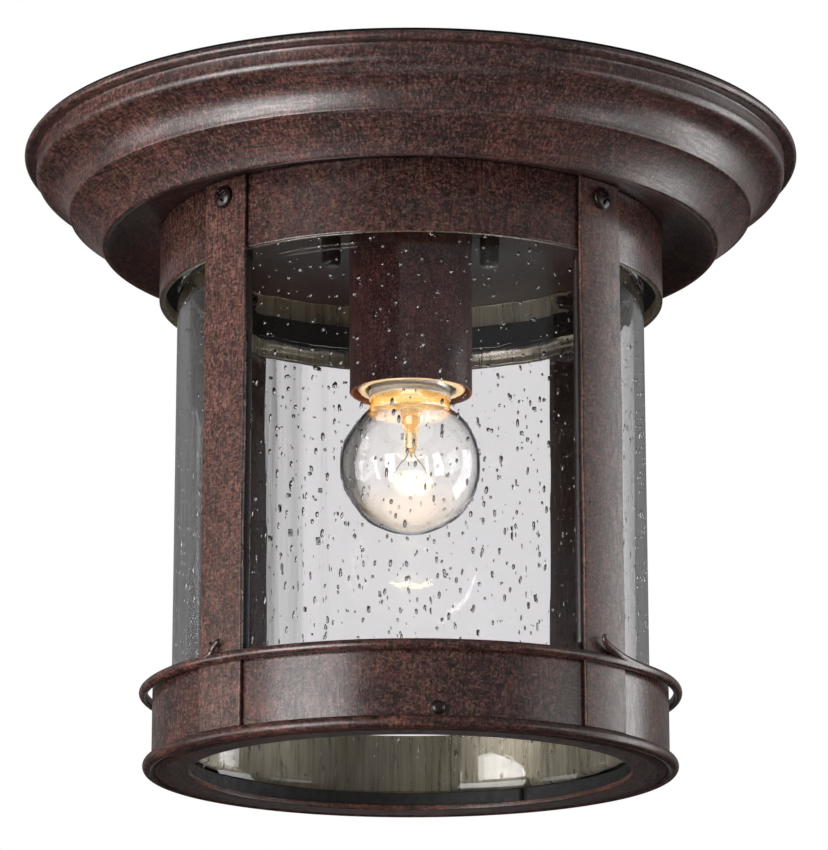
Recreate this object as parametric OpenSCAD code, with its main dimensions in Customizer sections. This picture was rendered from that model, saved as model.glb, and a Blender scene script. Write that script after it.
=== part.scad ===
// Outdoor flush mount lantern: spun canopy, strap cage, seeded glass cylinder, one globe lamp.
// Millimetres. The ceiling plane is z = 0, the lantern hangs towards -Z, its axis is the Z axis.
// Every "drop" is a depth below the ceiling plane.

/* [Canopy] */
// Outside diameter of the rolled rim
canopy_d = 248; // [240:1:300]
// Sheet thickness of the canopy
canopy_wall = 0.9; // [0.6:0.1:1.4]
// Diameter of the rolled bead along the rim
rim_bead_d = 3.4; // [2.4:0.1:4.2]
// Drop of the upper step's edge
upper_drop = 8.8; // [7:0.1:11]
// Inset of the upper step's edge from the rim
upper_inset = 3.9; // [3:0.1:6]
// Drop of the middle step's edge
middle_drop = 20.7; // [17:0.1:23]
// Inset of the middle step's edge from the rim
middle_inset = 14.5; // [12:0.1:18]
// Drop of the lip, the canopy's lowest edge
lip_drop = 30.9; // [29:0.1:36]
// Inset of the lip from the rim
lip_inset = 25.3; // [22:0.1:28]
// Depth of the hollow sweep between two steps
cove_sag = 1.7; // [0.8:0.1:2.2]
// Radius of the rounded step edges
edge_round = 1.5; // [1.2:0.1:2]
// Width of the lip's flat underside
lip_flat = 1.3; // [0.8:0.1:2.5]
// Drop of the flat seat that carries the cage
seat_drop = 25.4; // [24:0.1:26.5]
// Gap between the straps and the edge of the seat
seat_gap = 2.4; // [1.5:0.1:4]

/* [Ceiling gasket] */
// Thickness of the foam gasket
gasket_t = 0.8; // [0.5:0.1:1.5]
// Width of the foam gasket
gasket_w = 9; // [6:0.5:12]
// Inset of the gasket from the rim
gasket_inset = 1.2; // [0.8:0.1:2]

/* [Mounting plate] */
// Width of the plate outside its wide slots
plate_rim = 4; // [3:0.5:8]
// Thickness of the mounting plate
plate_t = 1.6; // [1.2:0.1:2.5]
// Distance between the two wide box screw slots
box_wide = 88.9; // [86:0.1:90]
// Distance between the two narrow box screw slots
box_narrow = 69.85; // [66:0.05:74]
// Width of a box screw slot
slot_w = 4.8; // [4.2:0.1:5.5]
// End to end length of a box screw slot
slot_len = 11; // [8:0.5:12]
// Diameter of the hole for the supply wires
wire_hole_d = 24; // [20:0.5:30]

/* [Mounting studs] */
// Distance between the two studs
stud_span = 50.8; // [46:0.1:54]
// Diameter of a stud
stud_d = 4; // [3.5:0.1:5]
// Length of the studs under the cage's roof
stud_reach = 5; // [4:0.5:6]
// Width across flats of a stud's locknut
locknut_af = 7; // [6.5:0.1:9]
// Height of a stud's locknut
locknut_h = 2.4; // [2:0.1:3.5]
// Wall of a cap nut
cap_wall = 1.3; // [1:0.1:2.5]
// Height of a cap nut
cap_h = 9.6; // [9.2:0.1:12]

/* [Ground screw] */
// Distance of the ground screw from the axis
ground_r = 30; // [26:0.5:34]
// Direction of the ground screw, in degrees from +X
ground_angle = 150; // [140:1:160]
// Diameter of the ground screw's shank
ground_d = 4; // [3.5:0.1:4.5]
// Width across flats of the ground screw's head
ground_af = 8; // [7:0.1:9.5]
// Height of the ground screw's head
ground_head_h = 3; // [2.5:0.1:4]

/* [Cage] */
// Outside diameter of both bands
band_d = 160.6; // [154:0.2:164]
// Sheet thickness of the bands
band_wall = 1; // [0.8:0.1:1.4]
// Height of the top band
top_band_h = 23.4; // [20:0.1:30]
// Height of the hem folded inside the top band
hem_h = 4; // [3:0.1:5]
// Thickness of the folded hem
hem_t = 0.9; // [0.5:0.1:1.2]
// Distance of the screws that hold the cage from the inside of its band
cage_screw_inset = 6.8; // [6:0.1:9]
// Diameter of the cage screws
cage_screw_d = 3.5; // [3:0.1:4]
// Height of the lower band
lower_band_h = 24.8; // [22:0.1:30]
// Drop of the lowest point of the lantern
cage_drop = 200.4; // [197:0.1:215]

/* [Straps] */
// Width of a strap
strap_w = 18; // [16:0.1:22]
// Thickness of a strap
strap_t = 1.5; // [1.2:0.1:2]
// Direction of the first strap, in degrees from +X
strap_angle = 45; // [40:1:50]
// Gap between a strap's upper end and the canopy
strap_top_gap = 0.3; // [0.1:0.1:1.5]
// Drop of the straps' screws under the canopy's seat
strap_screw_fall = 5.9; // [5.5:0.1:9]
// Diameter of the strap screws
strap_screw_d = 3; // [2.6:0.1:3.4]
// Diameter of the strap screws' heads
strap_head_d = 6; // [5.4:0.1:7]
// Height of the strap screws' heads
strap_head_h = 2; // [1.6:0.1:2.6]
// Width across flats of the strap nuts
strap_nut_af = 5.5; // [5.2:0.1:6.5]
// Height of the strap nuts
strap_nut_h = 2.4; // [2:0.1:3]
// Length of the strap screws under the head
strap_screw_len = 9; // [8:0.1:9.5]

/* [Hoop] */
// Diameter of the hoop's wire
hoop_wire = 3.1; // [2.6:0.1:3.6]
// Height of the hoop's centre line over the lantern's lowest point
hoop_rise = 24.8; // [22:0.1:26]
// Depth of the seats that fit the hoop over the straps
hoop_seat = 0.4; // [0.2:0.05:0.6]
// Height of the upturned ends on the hoop's joints
curl_h = 5; // [4:0.1:6]
// Diameter of those upturned ends
curl_d = 1.5; // [1.2:0.1:2]

/* [Base ring] */
// Diameter of the rolled bead around the base ring
base_bead_d = 3.9; // [3.4:0.1:4.6]
// Distance of the bead's centre outside the lower band
base_bead_reach = 0.85; // [0.5:0.05:1.2]
// Thickness of the base ring's flat plate
base_plate_t = 1.7; // [1.2:0.1:1.9]
// Width of the ledge inside the lower band
base_ledge = 11.7; // [10:0.1:14]
// Width of the tabs that hold the base ring to the lower band
tab_w = 6; // [5:0.1:8]
// Thickness of those tabs
tab_t = 0.6; // [0.5:0.1:0.8]
// Depth of the bead's lowest point under the flat plate
bead_under = 0.3; // [0.2:0.1:0.6]
// Height of the rivets over the base ring
rivet_rise = 4.2; // [4:0.1:5]
// Direction of the first rivet, in degrees from +X
rivet_angle = 275; // [265:1:285]
// Diameter of the rivets' heads
rivet_head_d = 4.2; // [3.6:0.1:4.6]
// Diameter of the rivets
rivet_d = 2; // [1.6:0.1:2.4]

/* [Glass] */
// Gap between the glass cylinder and the straps
glass_gap = 5.9; // [5.4:0.1:8]
// Wall of the glass cylinder
glass_wall = 3; // [2.4:0.1:3.6]
// Height of the glass inside the top band
glass_overlap = 5.8; // [3:0.1:12]
// Height of the strip gasket that the glass stands on
strip_h = 4.4; // [3:0.1:6]
// Clearance of the strip gasket inside the opening of the base ring
strip_inset = 1.2; // [0.5:0.1:1.4]
// Height of the lip that centres the glass on the strip gasket
strip_lip = 1.5; // [1:0.1:3]
// Gap where the ends of the strip gasket meet
strip_split = 1; // [0.4:0.1:2]
// Direction of that gap, in degrees from +X
strip_split_angle = 58; // [0:1:359]
// Height of the foam strip between the top band and the glass
upper_strip_h = 9.6; // [5:0.1:9.7]
// Width of that strip's split
upper_strip_split = 1.4; // [0.4:0.1:3]

/* [Lampholder] */
// Gap between the socket sleeve and the porcelain
sleeve_gap = 1.6; // [1:0.1:3]
// Wall of the socket sleeve
sleeve_wall = 0.8; // [0.6:0.1:1]
// Length of the sleeve below the porcelain
sleeve_over = 0.8; // [0.2:0.1:4]
// Wall of the porcelain around the screw shell
socket_wall = 2.9; // [2.4:0.1:4]
// Distance from the cage's roof to the porcelain
socket_fall = 11.6; // [11:0.1:14]
// Height of the socket body
socket_h = 39.2; // [38.6:0.1:39.8]
// Depth of the solid crown over the socket's well
crown_h = 9; // [8.5:0.1:9.5]
// Inside diameter of the brass screw shell
shell_d = 26.8; // [26.6:0.1:27.2]
// Wall of the screw shell
shell_wall = 0.4; // [0.3:0.1:0.6]
// Height of the screw shell
shell_h = 24; // [22:0.5:28]
// Height of the screw shell's edge over the porcelain's lower edge
shell_inset = 1.8; // [1:0.1:2.4]
// Play between the screw shell and the well around it
well_play = 0.3; // [0.2:0.1:0.6]
// Thickness of the steel cap on the socket body
cap_plate_t = 1.2; // [1:0.1:1.6]
// Inset of the socket's steel cap
cap_plate_inset = 1.5; // [1:0.1:2]
// Wall of the threaded hub of that cap
hub_wall = 2.15; // [1.5:0.05:3]
// Height of that hub
hub_h = 6; // [5:0.5:6.5]
// Outside diameter of the threaded nipple
nipple_d = 9.7; // [9.3:0.1:10.2]
// Wall of the nipple
nipple_wall = 1.55; // [1.3:0.05:1.7]
// Height of the nipple over the canopy's floor
nipple_rise = 6.5; // [5:0.1:9]
// Width across flats of the nipple's locknuts
nipple_nut_af = 14.3; // [13:0.1:16]
// Height of the nipple's locknuts
nipple_nut_h = 2.6; // [2:0.1:3]
// Diameter of the sprung centre contact
tongue_d = 7; // [5:0.1:8]
// Thickness of the sprung centre contact
tongue_t = 0.6; // [0.4:0.1:0.8]
// Height of the room over the sprung contact's lower face
tongue_room = 2.5; // [2.3:0.1:3.2]

/* [Lamp] */
// Diameter of the lamp's globe
globe_d = 44.2; // [40:0.1:48]
// Distance from the screw base to the globe's centre
globe_reach = 21.6; // [21:0.1:26]
// Wall of the globe
globe_wall = 0.8; // [0.6:0.1:1]
// Gap between the globe's neck and the screw base
neck_gap = 0.4; // [0.2:0.1:1]
// Height of the globe's neck inside the screw base
neck_in = 6; // [4:0.5:8]
// Play of the lamp's screw base in the screw shell
base_play = 0.3; // [0.2:0.05:0.4]
// Height of the lamp's screw base
base_h = 25; // [23:0.1:25.6]
// Sheet thickness of the lamp's screw base
base_wall = 0.4; // [0.3:0.1:0.5]
// Diameter of the solder contact at the lamp's tip
tip_d = 9; // [7:0.1:11]
// Height of the solder contact
tip_h = 1.6; // [1.2:0.1:2]
// Height of the black glass insulator
insulator_h = 3.6; // [3:0.1:4.5]
// Diameter of the glass stem
stem_d = 5; // [4:0.1:7]
// Height of the stem's lower end over the globe's centre
stem_rise = 3.6; // [2:0.1:8]
// Drop of the filament under the stem
filament_fall = 9; // [6:0.1:12]
// Radius of the filament's arc
filament_r = 8; // [6:0.1:9]

/* [Wires] */
// Diameter of a lead with its insulation
lead_d = 2; // [1.6:0.1:2.2]
// Distance of each lead from the axis inside the nipple
lead_offset = 1.3; // [1.15:0.05:1.6]
// Length of a twist-on connector
connector_len = 24; // [18:0.5:28]
// Diameter of a connector's open end
connector_d = 13; // [11:0.5:14]
// Diameter of a connector's closed end
connector_tip_d = 8; // [6:0.5:9]

/* [Clearances] */
// Radial play between a screw, stud or nipple and its hole
hole_play = 0.05; // [0.03:0.01:0.2]
// Radial play of the holes that screws pass through
pass_play = 0.35; // [0.2:0.05:0.6]
// Gap between pieces that only rest near each other
rest_gap = 0.05; // [0.02:0.01:0.2]
// Gap between the lamp's tip and the centre contact
contact_gap = 0.3; // [0.2:0.05:0.5]

/* [Hidden] */
$fn = 96;
eps = 0.01;
over = 2;
arc_steps = 8;
spline_steps = 5;
lead_sides = 8;

canopy_r = canopy_d / 2;
plate_r = box_wide / 2 + slot_len / 2 + plate_rim;
cap_d = stud_d + 2 * cap_wall;
band_r = band_d / 2;
band_in = band_r - band_wall;
strap_r = band_r + strap_t;
seat_r = strap_r + seat_gap;
bead_r = rim_bead_d / 2;
bead_centre = [canopy_r - bead_r, gasket_t + bead_r];
seat_floor = seat_drop - canopy_wall;
flange_drop = seat_drop + band_wall;
stud_len = flange_drop + stud_reach;
top_band_drop = seat_drop + top_band_h;
cage_screw_r = band_in - cage_screw_inset;
strap_top_drop = seat_drop + strap_top_gap;
strap_screw_drop = seat_drop + strap_screw_fall;
foot_drop = cage_drop - bead_under;
base_top = cage_drop - base_bead_d / 2;
plate_top = foot_drop - base_plate_t;
lower_band_drop = plate_top - lower_band_h;
hoop_drop = cage_drop - hoop_rise;
hoop_r = strap_r + hoop_wire / 2 - hoop_seat;
curl_r = strap_r + curl_d + rest_gap;
strap_bottom = base_top - base_bead_d / 2 - rest_gap;
opening_r = band_r - base_ledge;
rivet_drop = plate_top - rivet_rise;
rivet_angles = [for (k = [0 : 2]) rivet_angle + 120 * k];
rivet_tail_r = rivet_d * 0.75;
strip_r = opening_r + strip_inset;
glass_r = band_r - glass_gap;
glass_bottom = plate_top - strip_h;
glass_top_drop = top_band_drop - glass_overlap;
eyelet_t = 0.8;
nipple_bore = nipple_d - 2 * nipple_wall;
nipple_top_drop = seat_floor - nipple_rise;
socket_top_drop = flange_drop + socket_fall;
socket_bottom = socket_top_drop + socket_h;
nipple_bottom = socket_top_drop - cap_plate_t;
hub_r = nipple_d / 2 + hub_wall;
well_r = shell_d / 2 + shell_wall + well_play;
well_floor = socket_top_drop + crown_h;
socket_r = well_r + socket_wall;
shell_bottom = socket_bottom - shell_inset;
sleeve_in = socket_r + sleeve_gap;
sleeve_r = sleeve_in + sleeve_wall;
sleeve_top = flange_drop;
sleeve_drop = socket_bottom + sleeve_over;
tongue_drop = well_floor + tongue_room;
base_r = shell_d / 2 - base_play;
neck_r = base_r - base_wall - neck_gap;
globe_r = globe_d / 2;
tip_top = tongue_drop + contact_gap;
insulator_top = tip_top + tip_h;
lamp_base_top = insulator_top + insulator_h;
lamp_base_bottom = lamp_base_top + base_h;
neck_top = lamp_base_bottom - neck_in;
globe_drop = lamp_base_bottom + globe_reach;
stem_drop = globe_drop - stem_rise;
filament_drop = stem_drop + filament_fall;
strap_angles = [for (k = [0 : 3]) strap_angle + 90 * k];
cage_screw_angles = [0, 90, 180, 270];
stud_places = [for (s = [1, -1]) [s * stud_span / 2, 0]];
ground_place = ground_r * [cos(ground_angle), sin(ground_angle)];

// Routes of the leads, from the socket up through the nipple and out over the canopy's floor
hot_route = [
    [lead_offset, 0, -37.5], [lead_offset, 0, -29], [lead_offset, 0, -20], [1.6, -0.3, -15],
    [4, -3, -11.8], [8.5, -7.5, -11.8], [14, -13, -15.5], [21, -20, -21], [30, -28, -23.1],
    [39, -36, -23.2], [45, -45, -23], [45.5, -54, -21.8], [39, -60, -19.6], [30, -60.6, -18],
    [20, -60, -17.8], [10, -60, -17.8]
];
neutral_route = [for (p = hot_route) [-p[0], -p[1], p[2]]];
ground_route = [
    [-8.7, -4.05, -23.4], [-14, -6.6, -22.3], [-22, -8.6, -17], [-31, -7, -10],
    [-36, 0, -5.4], [-33.4, 8, -3.1], [-28.6, 12.8, -2.65]
];
connector_start = hot_route[len(hot_route) - 1] + [4, 0, 0];

// Points of a curve from p to q that bows by sag to the left of the way from p to q
function bowed(p, q, sag, n = arc_steps) =
    let (d = q - p, side = [-d[1], d[0]] / norm(d))
    [for (i = [0 : n]) p + d * i / n + side * 4 * sag * (i / n) * (1 - i / n)];

// Points of an arc around c from angle a0 to a1
function arc(c, r, a0, a1, n = arc_steps) =
    [for (i = [0 : n]) c + r * [cos(a0 + (a1 - a0) * i / n), sin(a0 + (a1 - a0) * i / n)]];

// An outline moved sideways by t, each corner along the mean of its two sides' normals
function moved(pts, t) =
    [for (i = [0 : len(pts) - 1])
        let (a = pts[max(i - 1, 0)], b = pts[i], c = pts[min(i + 1, len(pts) - 1)],
             u = i == 0 ? (c - b) / norm(c - b) : (b - a) / norm(b - a),
             v = i == len(pts) - 1 ? u : (c - b) / norm(c - b),
             m = (u + v) / norm(u + v), k = 1 / sqrt((1 + u * v) / 2))
        b + t * k * [-m[1], m[0]]];

function reversed(pts) = [for (i = [len(pts) - 1 : -1 : 0]) pts[i]];

// Point of a smooth curve through the points p at the parameter t
function spline_point(p, t) =
    let (i = min(floor(t), len(p) - 2), f = t - i, b = p[i], c = p[i + 1],
         a = i > 0 ? p[i - 1] : 2 * b - c, d = i < len(p) - 2 ? p[i + 2] : 2 * c - b)
    ((2 * b) + (c - a) * f + (2 * a - 5 * b + 4 * c - d) * f * f
        + (3 * b - a - 3 * c + d) * f * f * f) / 2;

function spline(p) = [for (i = [0 : (len(p) - 1) * spline_steps]) spline_point(p, i / spline_steps)];

// A sheet outline turned around the axis: points are [radius, drop]
module lathe(pts) {
    rotate_extrude() polygon([for (p = pts) [p[0], -p[1]]]);
}

module tube(r_out, r_in, top, bottom) {
    translate([0, 0, -bottom]) difference() {
        cylinder(r = r_out, h = bottom - top);
        translate([0, 0, -eps]) cylinder(r = r_in, h = bottom - top + 2 * eps);
    }
}

module disc(r, top, bottom) {
    translate([0, 0, -bottom]) cylinder(r = r, h = bottom - top);
}

module hex(af, top, bottom) {
    translate([0, 0, -bottom]) cylinder(d = af / cos(30), h = bottom - top, $fn = 6);
}

// Children are drawn along a radius: their +X points outwards at each strap's screw
module at_strap_screws() {
    for (a = strap_angles) rotate([0, 0, a]) translate([0, 0, -strap_screw_drop]) children();
}

module at_cage_screws() {
    for (a = cage_screw_angles) rotate([0, 0, a]) translate([cage_screw_r, 0, 0]) children();
}

module at_studs() {
    for (p = stud_places) translate([p[0], p[1], 0]) children();
}

// A round rod along +X from x0 to x1
module rod_x(r, x0, x1) {
    translate([x0, 0, 0]) rotate([0, 90, 0]) cylinder(r = r, h = x1 - x0);
}

// Directions across a wire at each point, carried along it without a twist
function carried(way, u, i = 0, done = []) =
    i == len(way) ? done
    : let (v = u - (u * way[i]) * way[i], n = v / norm(v)) carried(way, n, i + 1, concat(done, [n]));

// A wire swept along a route, with flat ends
module swept(route, d) {
    p = spline(route);
    n = len(p);
    way = [for (i = [0 : n - 1]) let (t = p[min(i + 1, n - 1)] - p[max(i - 1, 0)]) t / norm(t)];
    across = carried(way, [0.3, 1, 0.1]);
    points = [for (i = [0 : n - 1]) let (u = across[i], v = cross(way[i], u))
        for (k = [0 : lead_sides - 1])
            p[i] + d / 2 * (cos(360 * k / lead_sides) * u + sin(360 * k / lead_sides) * v)];
    sides = [for (i = [0 : n - 2]) for (k = [0 : lead_sides - 1])
        let (a = i * lead_sides + k, b = i * lead_sides + (k + 1) % lead_sides)
        for (f = [[a, b + lead_sides, b], [a, a + lead_sides, b + lead_sides]]) f];
    first = [for (k = [0 : lead_sides - 1]) k];
    last = [for (k = [lead_sides - 1 : -1 : 0]) (n - 1) * lead_sides + k];
    polyhedron(points, concat(sides, [first], [last]), convexity = 6);
}

// Outer line of the canopy, from the top of the rim bead to the centre hole
upper_edge = [canopy_r - upper_inset, upper_drop];
middle_edge = [canopy_r - middle_inset, middle_drop];
lip_edge = [canopy_r - lip_inset, lip_drop];
lip_inner = [lip_edge[0] - edge_round - lip_flat, lip_drop];
bead_crease = upper_edge + [1.3, -edge_round - 3.3];
cove_start = [-edge_round - 0.6, 0.5];
upper_cove_end = middle_edge + [0, -edge_round - 0.4];
lower_cove_end = lip_edge + [0.3, -edge_round - 1.4];
lower_sag = cove_sag * 0.7;
under_sag = 0.6;
canopy_line = concat(
    arc(bead_centre, bead_r, -90, 100, 12),
    [bead_crease],
    arc(upper_edge - [edge_round, edge_round], edge_round, 0, 75, 5),
    bowed(upper_edge + cove_start, upper_cove_end, cove_sag),
    arc(middle_edge - [edge_round, edge_round], edge_round, 10, 75, 5),
    bowed(middle_edge + cove_start, lower_cove_end, lower_sag),
    arc(lip_edge - [edge_round, edge_round], edge_round, 0, 90, 6),
    bowed(lip_inner, [seat_r, seat_drop], under_sag, 5),
    [[0, seat_drop]]
);

module rim_gasket() {
    color("black")
        tube(canopy_r - gasket_inset, canopy_r - gasket_inset - gasket_w, 0, gasket_t);
}

// Holes through the canopy's seat and the cage's roof for the nipple, the studs and the screws
module centre_holes(top, bottom) {
    disc(nipple_d / 2 + pass_play, top, bottom);
    at_studs() disc(stud_d / 2 + pass_play, top, bottom);
    at_cage_screws() disc(cage_screw_d / 2 + pass_play, top, bottom);
}

module canopy() {
    color("#4a2f2c") difference() {
        lathe(concat(canopy_line, reversed(moved(canopy_line, canopy_wall))));
        centre_holes(seat_drop - over, seat_drop + over);
    }
}

module box_slot(length) {
    for (s = [1, -1]) translate([s * (length - slot_w) / 2, 0, -plate_t - eps])
        cylinder(d = slot_w, h = plate_t + 2 * eps);
    translate([-(length - slot_w) / 2, -slot_w / 2, -plate_t - eps])
        cube([length - slot_w, slot_w, plate_t + 2 * eps]);
}

module mounting_plate() {
    color("silver") difference() {
        tube(plate_r, wire_hole_d / 2, 0, plate_t);
        for (s = [1, -1]) translate([s * box_wide / 2, 0, 0]) box_slot(slot_len);
        for (s = [1, -1]) translate([0, s * box_narrow / 2, 0]) rotate([0, 0, 90]) box_slot(slot_len);
        at_studs() disc(stud_d / 2 + hole_play, -eps, plate_t + eps);
        translate([ground_place[0], ground_place[1], 0])
            disc(ground_d / 2 + hole_play, -eps, plate_t + eps);
    }
}

module plate_studs() {
    color("silver") at_studs() disc(stud_d / 2, 0, stud_len);
}

module stud_locknuts() {
    color("silver") at_studs() difference() {
        hex(locknut_af, plate_t, plate_t + locknut_h);
        disc(stud_d / 2 + hole_play, plate_t - eps, plate_t + locknut_h + eps);
    }
}

module cap_nuts() {
    dome = cap_d / 4;
    bore_end = stud_len + 0.8;
    color("#241a18") at_studs() difference() {
        lathe(concat([[0, flange_drop], [cap_d / 2, flange_drop]],
            arc([cap_d / 2 - dome, flange_drop + cap_h - dome], dome, 0, 90), [[0, flange_drop + cap_h]]));
        disc(stud_d / 2 + hole_play, flange_drop - eps, bore_end);
    }
}

module ground_screw() {
    washer_t = 0.8;
    washer_reach = 0.8;
    washer_drop = plate_t + lead_d + 2 * rest_gap;
    color("green") translate([ground_place[0], ground_place[1], 0]) {
        disc(ground_d / 2, 2 * rest_gap, washer_drop + eps);
        disc(ground_af / 2 + washer_reach, washer_drop, washer_drop + washer_t);
        hex(ground_af, washer_drop + washer_t - eps, washer_drop + washer_t + ground_head_h);
    }
}

module top_band() {
    color("#543633") difference() {
        lathe([[0, seat_drop], [band_r, seat_drop], [band_r, top_band_drop],
            [band_in - hem_t, top_band_drop], [band_in - hem_t, top_band_drop - hem_h],
            [band_in, top_band_drop - hem_h], [band_in, flange_drop], [0, flange_drop]]);
        centre_holes(seat_drop - eps, flange_drop + eps);
        at_strap_screws() rod_x(strap_screw_d / 2 + pass_play, band_in - over, band_r + over);
    }
}

module cage_screws() {
    head_r = cage_screw_d * 0.95;
    head_h = 2;
    color("silver") at_cage_screws() {
        disc(cage_screw_d / 2, seat_floor - cage_screw_d, flange_drop + eps);
        disc(head_r, flange_drop, flange_drop + head_h);
    }
}

module cage_nuts() {
    nut_af = cage_screw_d * 1.9;
    nut_h = 2.6;
    color("silver") at_cage_screws() difference() {
        hex(nut_af, seat_floor - nut_h, seat_floor);
        disc(cage_screw_d / 2 + hole_play, seat_floor - nut_h - eps, seat_floor + eps);
    }
}

// A strap is rolled to the bands' radius, so that it lies flat on both of them
module strap_blank(a, extra = 0) {
    half = asin((strap_w / 2 + extra) / strap_r);
    rotate([0, 0, a - half]) translate([0, 0, -strap_bottom]) rotate_extrude(angle = 2 * half)
        translate([band_r, 0]) square([strap_t + extra, strap_bottom - strap_top_drop]);
}

module strap(a) {
    color("#4d302c") difference() {
        strap_blank(a);
        at_strap_screws() rod_x(strap_screw_d / 2 + pass_play, band_r - over, strap_r + over);
    }
}

module strap_back_right() {
    strap(strap_angles[0]);
}

module strap_back_left() {
    strap(strap_angles[1]);
}

module strap_front_left() {
    strap(strap_angles[2]);
}

module strap_front_right() {
    strap(strap_angles[3]);
}

module strap_screws() {
    seat = strap_r + rest_gap;
    round_r = strap_head_h * 0.6;
    color("#2a1d1b") at_strap_screws() {
        rod_x(strap_screw_d / 2, seat - strap_screw_len, seat + eps);
        translate([seat, 0, 0]) rotate([0, 90, 0]) rotate_extrude()
            polygon(concat([[0, 0], [strap_head_d / 2, 0]],
                arc([strap_head_d / 2 - round_r, strap_head_h - round_r], round_r, 0, 90, 5),
                [[0, strap_head_h]]));
    }
}

module strap_nuts() {
    half = strap_nut_af / 2 / cos(30);
    seat = sqrt(band_in * band_in - half * half) - rest_gap;
    color("#5b4a3e") at_strap_screws() difference() {
        translate([seat - strap_nut_h, 0, 0]) rotate([0, 90, 0])
            cylinder(r = half, h = strap_nut_h, $fn = 6);
        rod_x(strap_screw_d / 2 + hole_play, seat - strap_nut_h - eps, seat + eps);
    }
}

// Children are drawn along a radius: their +X points outwards at each rivet
module at_rivets() {
    for (a = rivet_angles) rotate([0, 0, a]) translate([0, 0, -rivet_drop]) children();
}

module lower_band() {
    color("#543633") difference() {
        tube(band_r, band_in, lower_band_drop, plate_top);
        at_rivets() rod_x(rivet_d / 2 + hole_play, band_in - over, band_r + over);
    }
}

module hoop_wire_ring() {
    translate([0, 0, -hoop_drop]) rotate_extrude()
        translate([hoop_r, 0]) circle(d = hoop_wire, $fn = 32);
}

module hoop() {
    color("#4a2f2c") difference() {
        hoop_wire_ring();
        for (a = strap_angles) strap_blank(a, rest_gap);
    }
}

// A flared stub on the left joint and a hook on the right one, both standing on the hoop
module flared_curl() {
    head_d = curl_d * 2;
    neck_h = curl_h * 0.6;
    flare_drop = 0.6;
    flare_h = 1.4;
    crown_t = 1;
    cylinder(d = curl_d, h = neck_h, $fn = 24);
    translate([0, 0, neck_h - flare_drop]) {
        cylinder(d1 = curl_d * 0.8, d2 = head_d, h = flare_h, $fn = 24);
        translate([0, 0, flare_h - eps]) cylinder(d1 = head_d, d2 = head_d * 0.6, h = crown_t, $fn = 24);
    }
}

module hooked_curl() {
    bend_r = curl_h * 1.1;
    bend = 76;
    tip = 152;
    translate([0, bend_r, curl_h * 0.65]) rotate([90, 0, 90]) rotate([0, 0, tip]) {
        rotate_extrude(angle = bend) translate([bend_r, 0]) circle(d = curl_d, $fn = 24);
        translate([bend_r, 0, 0]) sphere(d = curl_d, $fn = 24);
    }
}

module hoop_curls() {
    color("#3a2422") difference() {
        union() {
            rotate([0, 0, strap_angles[2] + 1.5]) translate([curl_r, 0, -hoop_drop]) flared_curl();
            rotate([0, 0, strap_angles[3] - 2.5]) translate([hoop_r, 0, -hoop_drop]) hooked_curl();
        }
        hoop_wire_ring();
    }
}

module base_ring() {
    step_r = band_r + rest_gap;
    half = asin(tab_w / 2 / step_r);
    bead_top = base_top - base_bead_d / 2;
    tab_foot = bead_top + 1.2;
    crease = 0.3;
    color("#452b28") {
        lathe(concat(
            [[opening_r, plate_top], [step_r, plate_top], [step_r, bead_top + crease]],
            arc([band_r + base_bead_reach, base_top], base_bead_d / 2, -105, 100, 16),
            [[step_r - crease, foot_drop], [opening_r, foot_drop]]));
        for (a = rivet_angles) difference() {
            rotate([0, 0, a - half]) translate([0, 0, -tab_foot]) rotate_extrude(angle = 2 * half)
                translate([step_r, 0]) square([tab_t, tab_foot - rivet_drop + rivet_head_d / 2]);
            at_rivets() rod_x(rivet_d / 2 + hole_play, band_r - over, band_r + over);
        }
    }
}

module base_rivets() {
    seat = band_r + rest_gap * 2 + tab_t;
    inner = band_in - rest_gap * 2;
    tail_t = 0.7;
    head_h = 1.5;
    round_r = 1;
    color("#2a1d1b") at_rivets() {
        rod_x(rivet_d / 2, inner - eps, seat + eps);
        rod_x(rivet_tail_r, inner - tail_t, inner);
        translate([seat, 0, 0]) rotate([0, 90, 0]) rotate_extrude()
            polygon(concat([[0, 0], [rivet_head_d / 2, 0]],
                arc([rivet_head_d / 2 - round_r, head_h - round_r], round_r, 0, 90, 5), [[0, head_h]]));
    }
}

module strip_gasket() {
    out_r = band_in - rest_gap;
    lip_r = glass_r + 2 * rest_gap;
    pocket = rivet_tail_r + 0.4;
    pocket_depth = 1.2;
    color("black") difference() {
        lathe([[strip_r, glass_bottom], [lip_r, glass_bottom], [lip_r, glass_bottom - strip_lip],
            [out_r, glass_bottom - strip_lip], [out_r, plate_top], [strip_r, plate_top]]);
        rotate([0, 0, strip_split_angle]) translate([strip_r - over, -strip_split / 2, -plate_top - over])
            cube([out_r - strip_r + 2 * over, strip_split, strip_h + strip_lip + 2 * over]);
        for (a = rivet_angles) rotate([0, 0, a])
            translate([out_r - pocket_depth, -pocket, -rivet_drop - pocket])
                cube([pocket_depth + over, 2 * pocket, 2 * pocket + 2 * over]);
    }
}

module upper_strip() {
    out_r = band_in - rest_gap;
    in_r = glass_r + 2 * rest_gap;
    bottom = top_band_drop - hem_h - rest_gap;
    color("#1b1b1d") difference() {
        tube(out_r, in_r, bottom - upper_strip_h, bottom);
        translate([-upper_strip_split / 2, in_r - over, -bottom - over])
            cube([upper_strip_split, out_r - in_r + 2 * over, upper_strip_h + 2 * over]);
    }
}

module glass_cylinder() {
    color("#cfd6d2", 0.3)
        tube(glass_r, glass_r - glass_wall, glass_top_drop, glass_bottom);
}

module socket_sleeve() {
    color("#4a2f2c") difference() {
        disc(sleeve_r, sleeve_top, sleeve_drop);
        disc(sleeve_in, sleeve_top + sleeve_wall, sleeve_drop + eps);
        disc(nipple_d / 2 + pass_play, sleeve_top - eps, sleeve_top + sleeve_wall + eps);
    }
}

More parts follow.
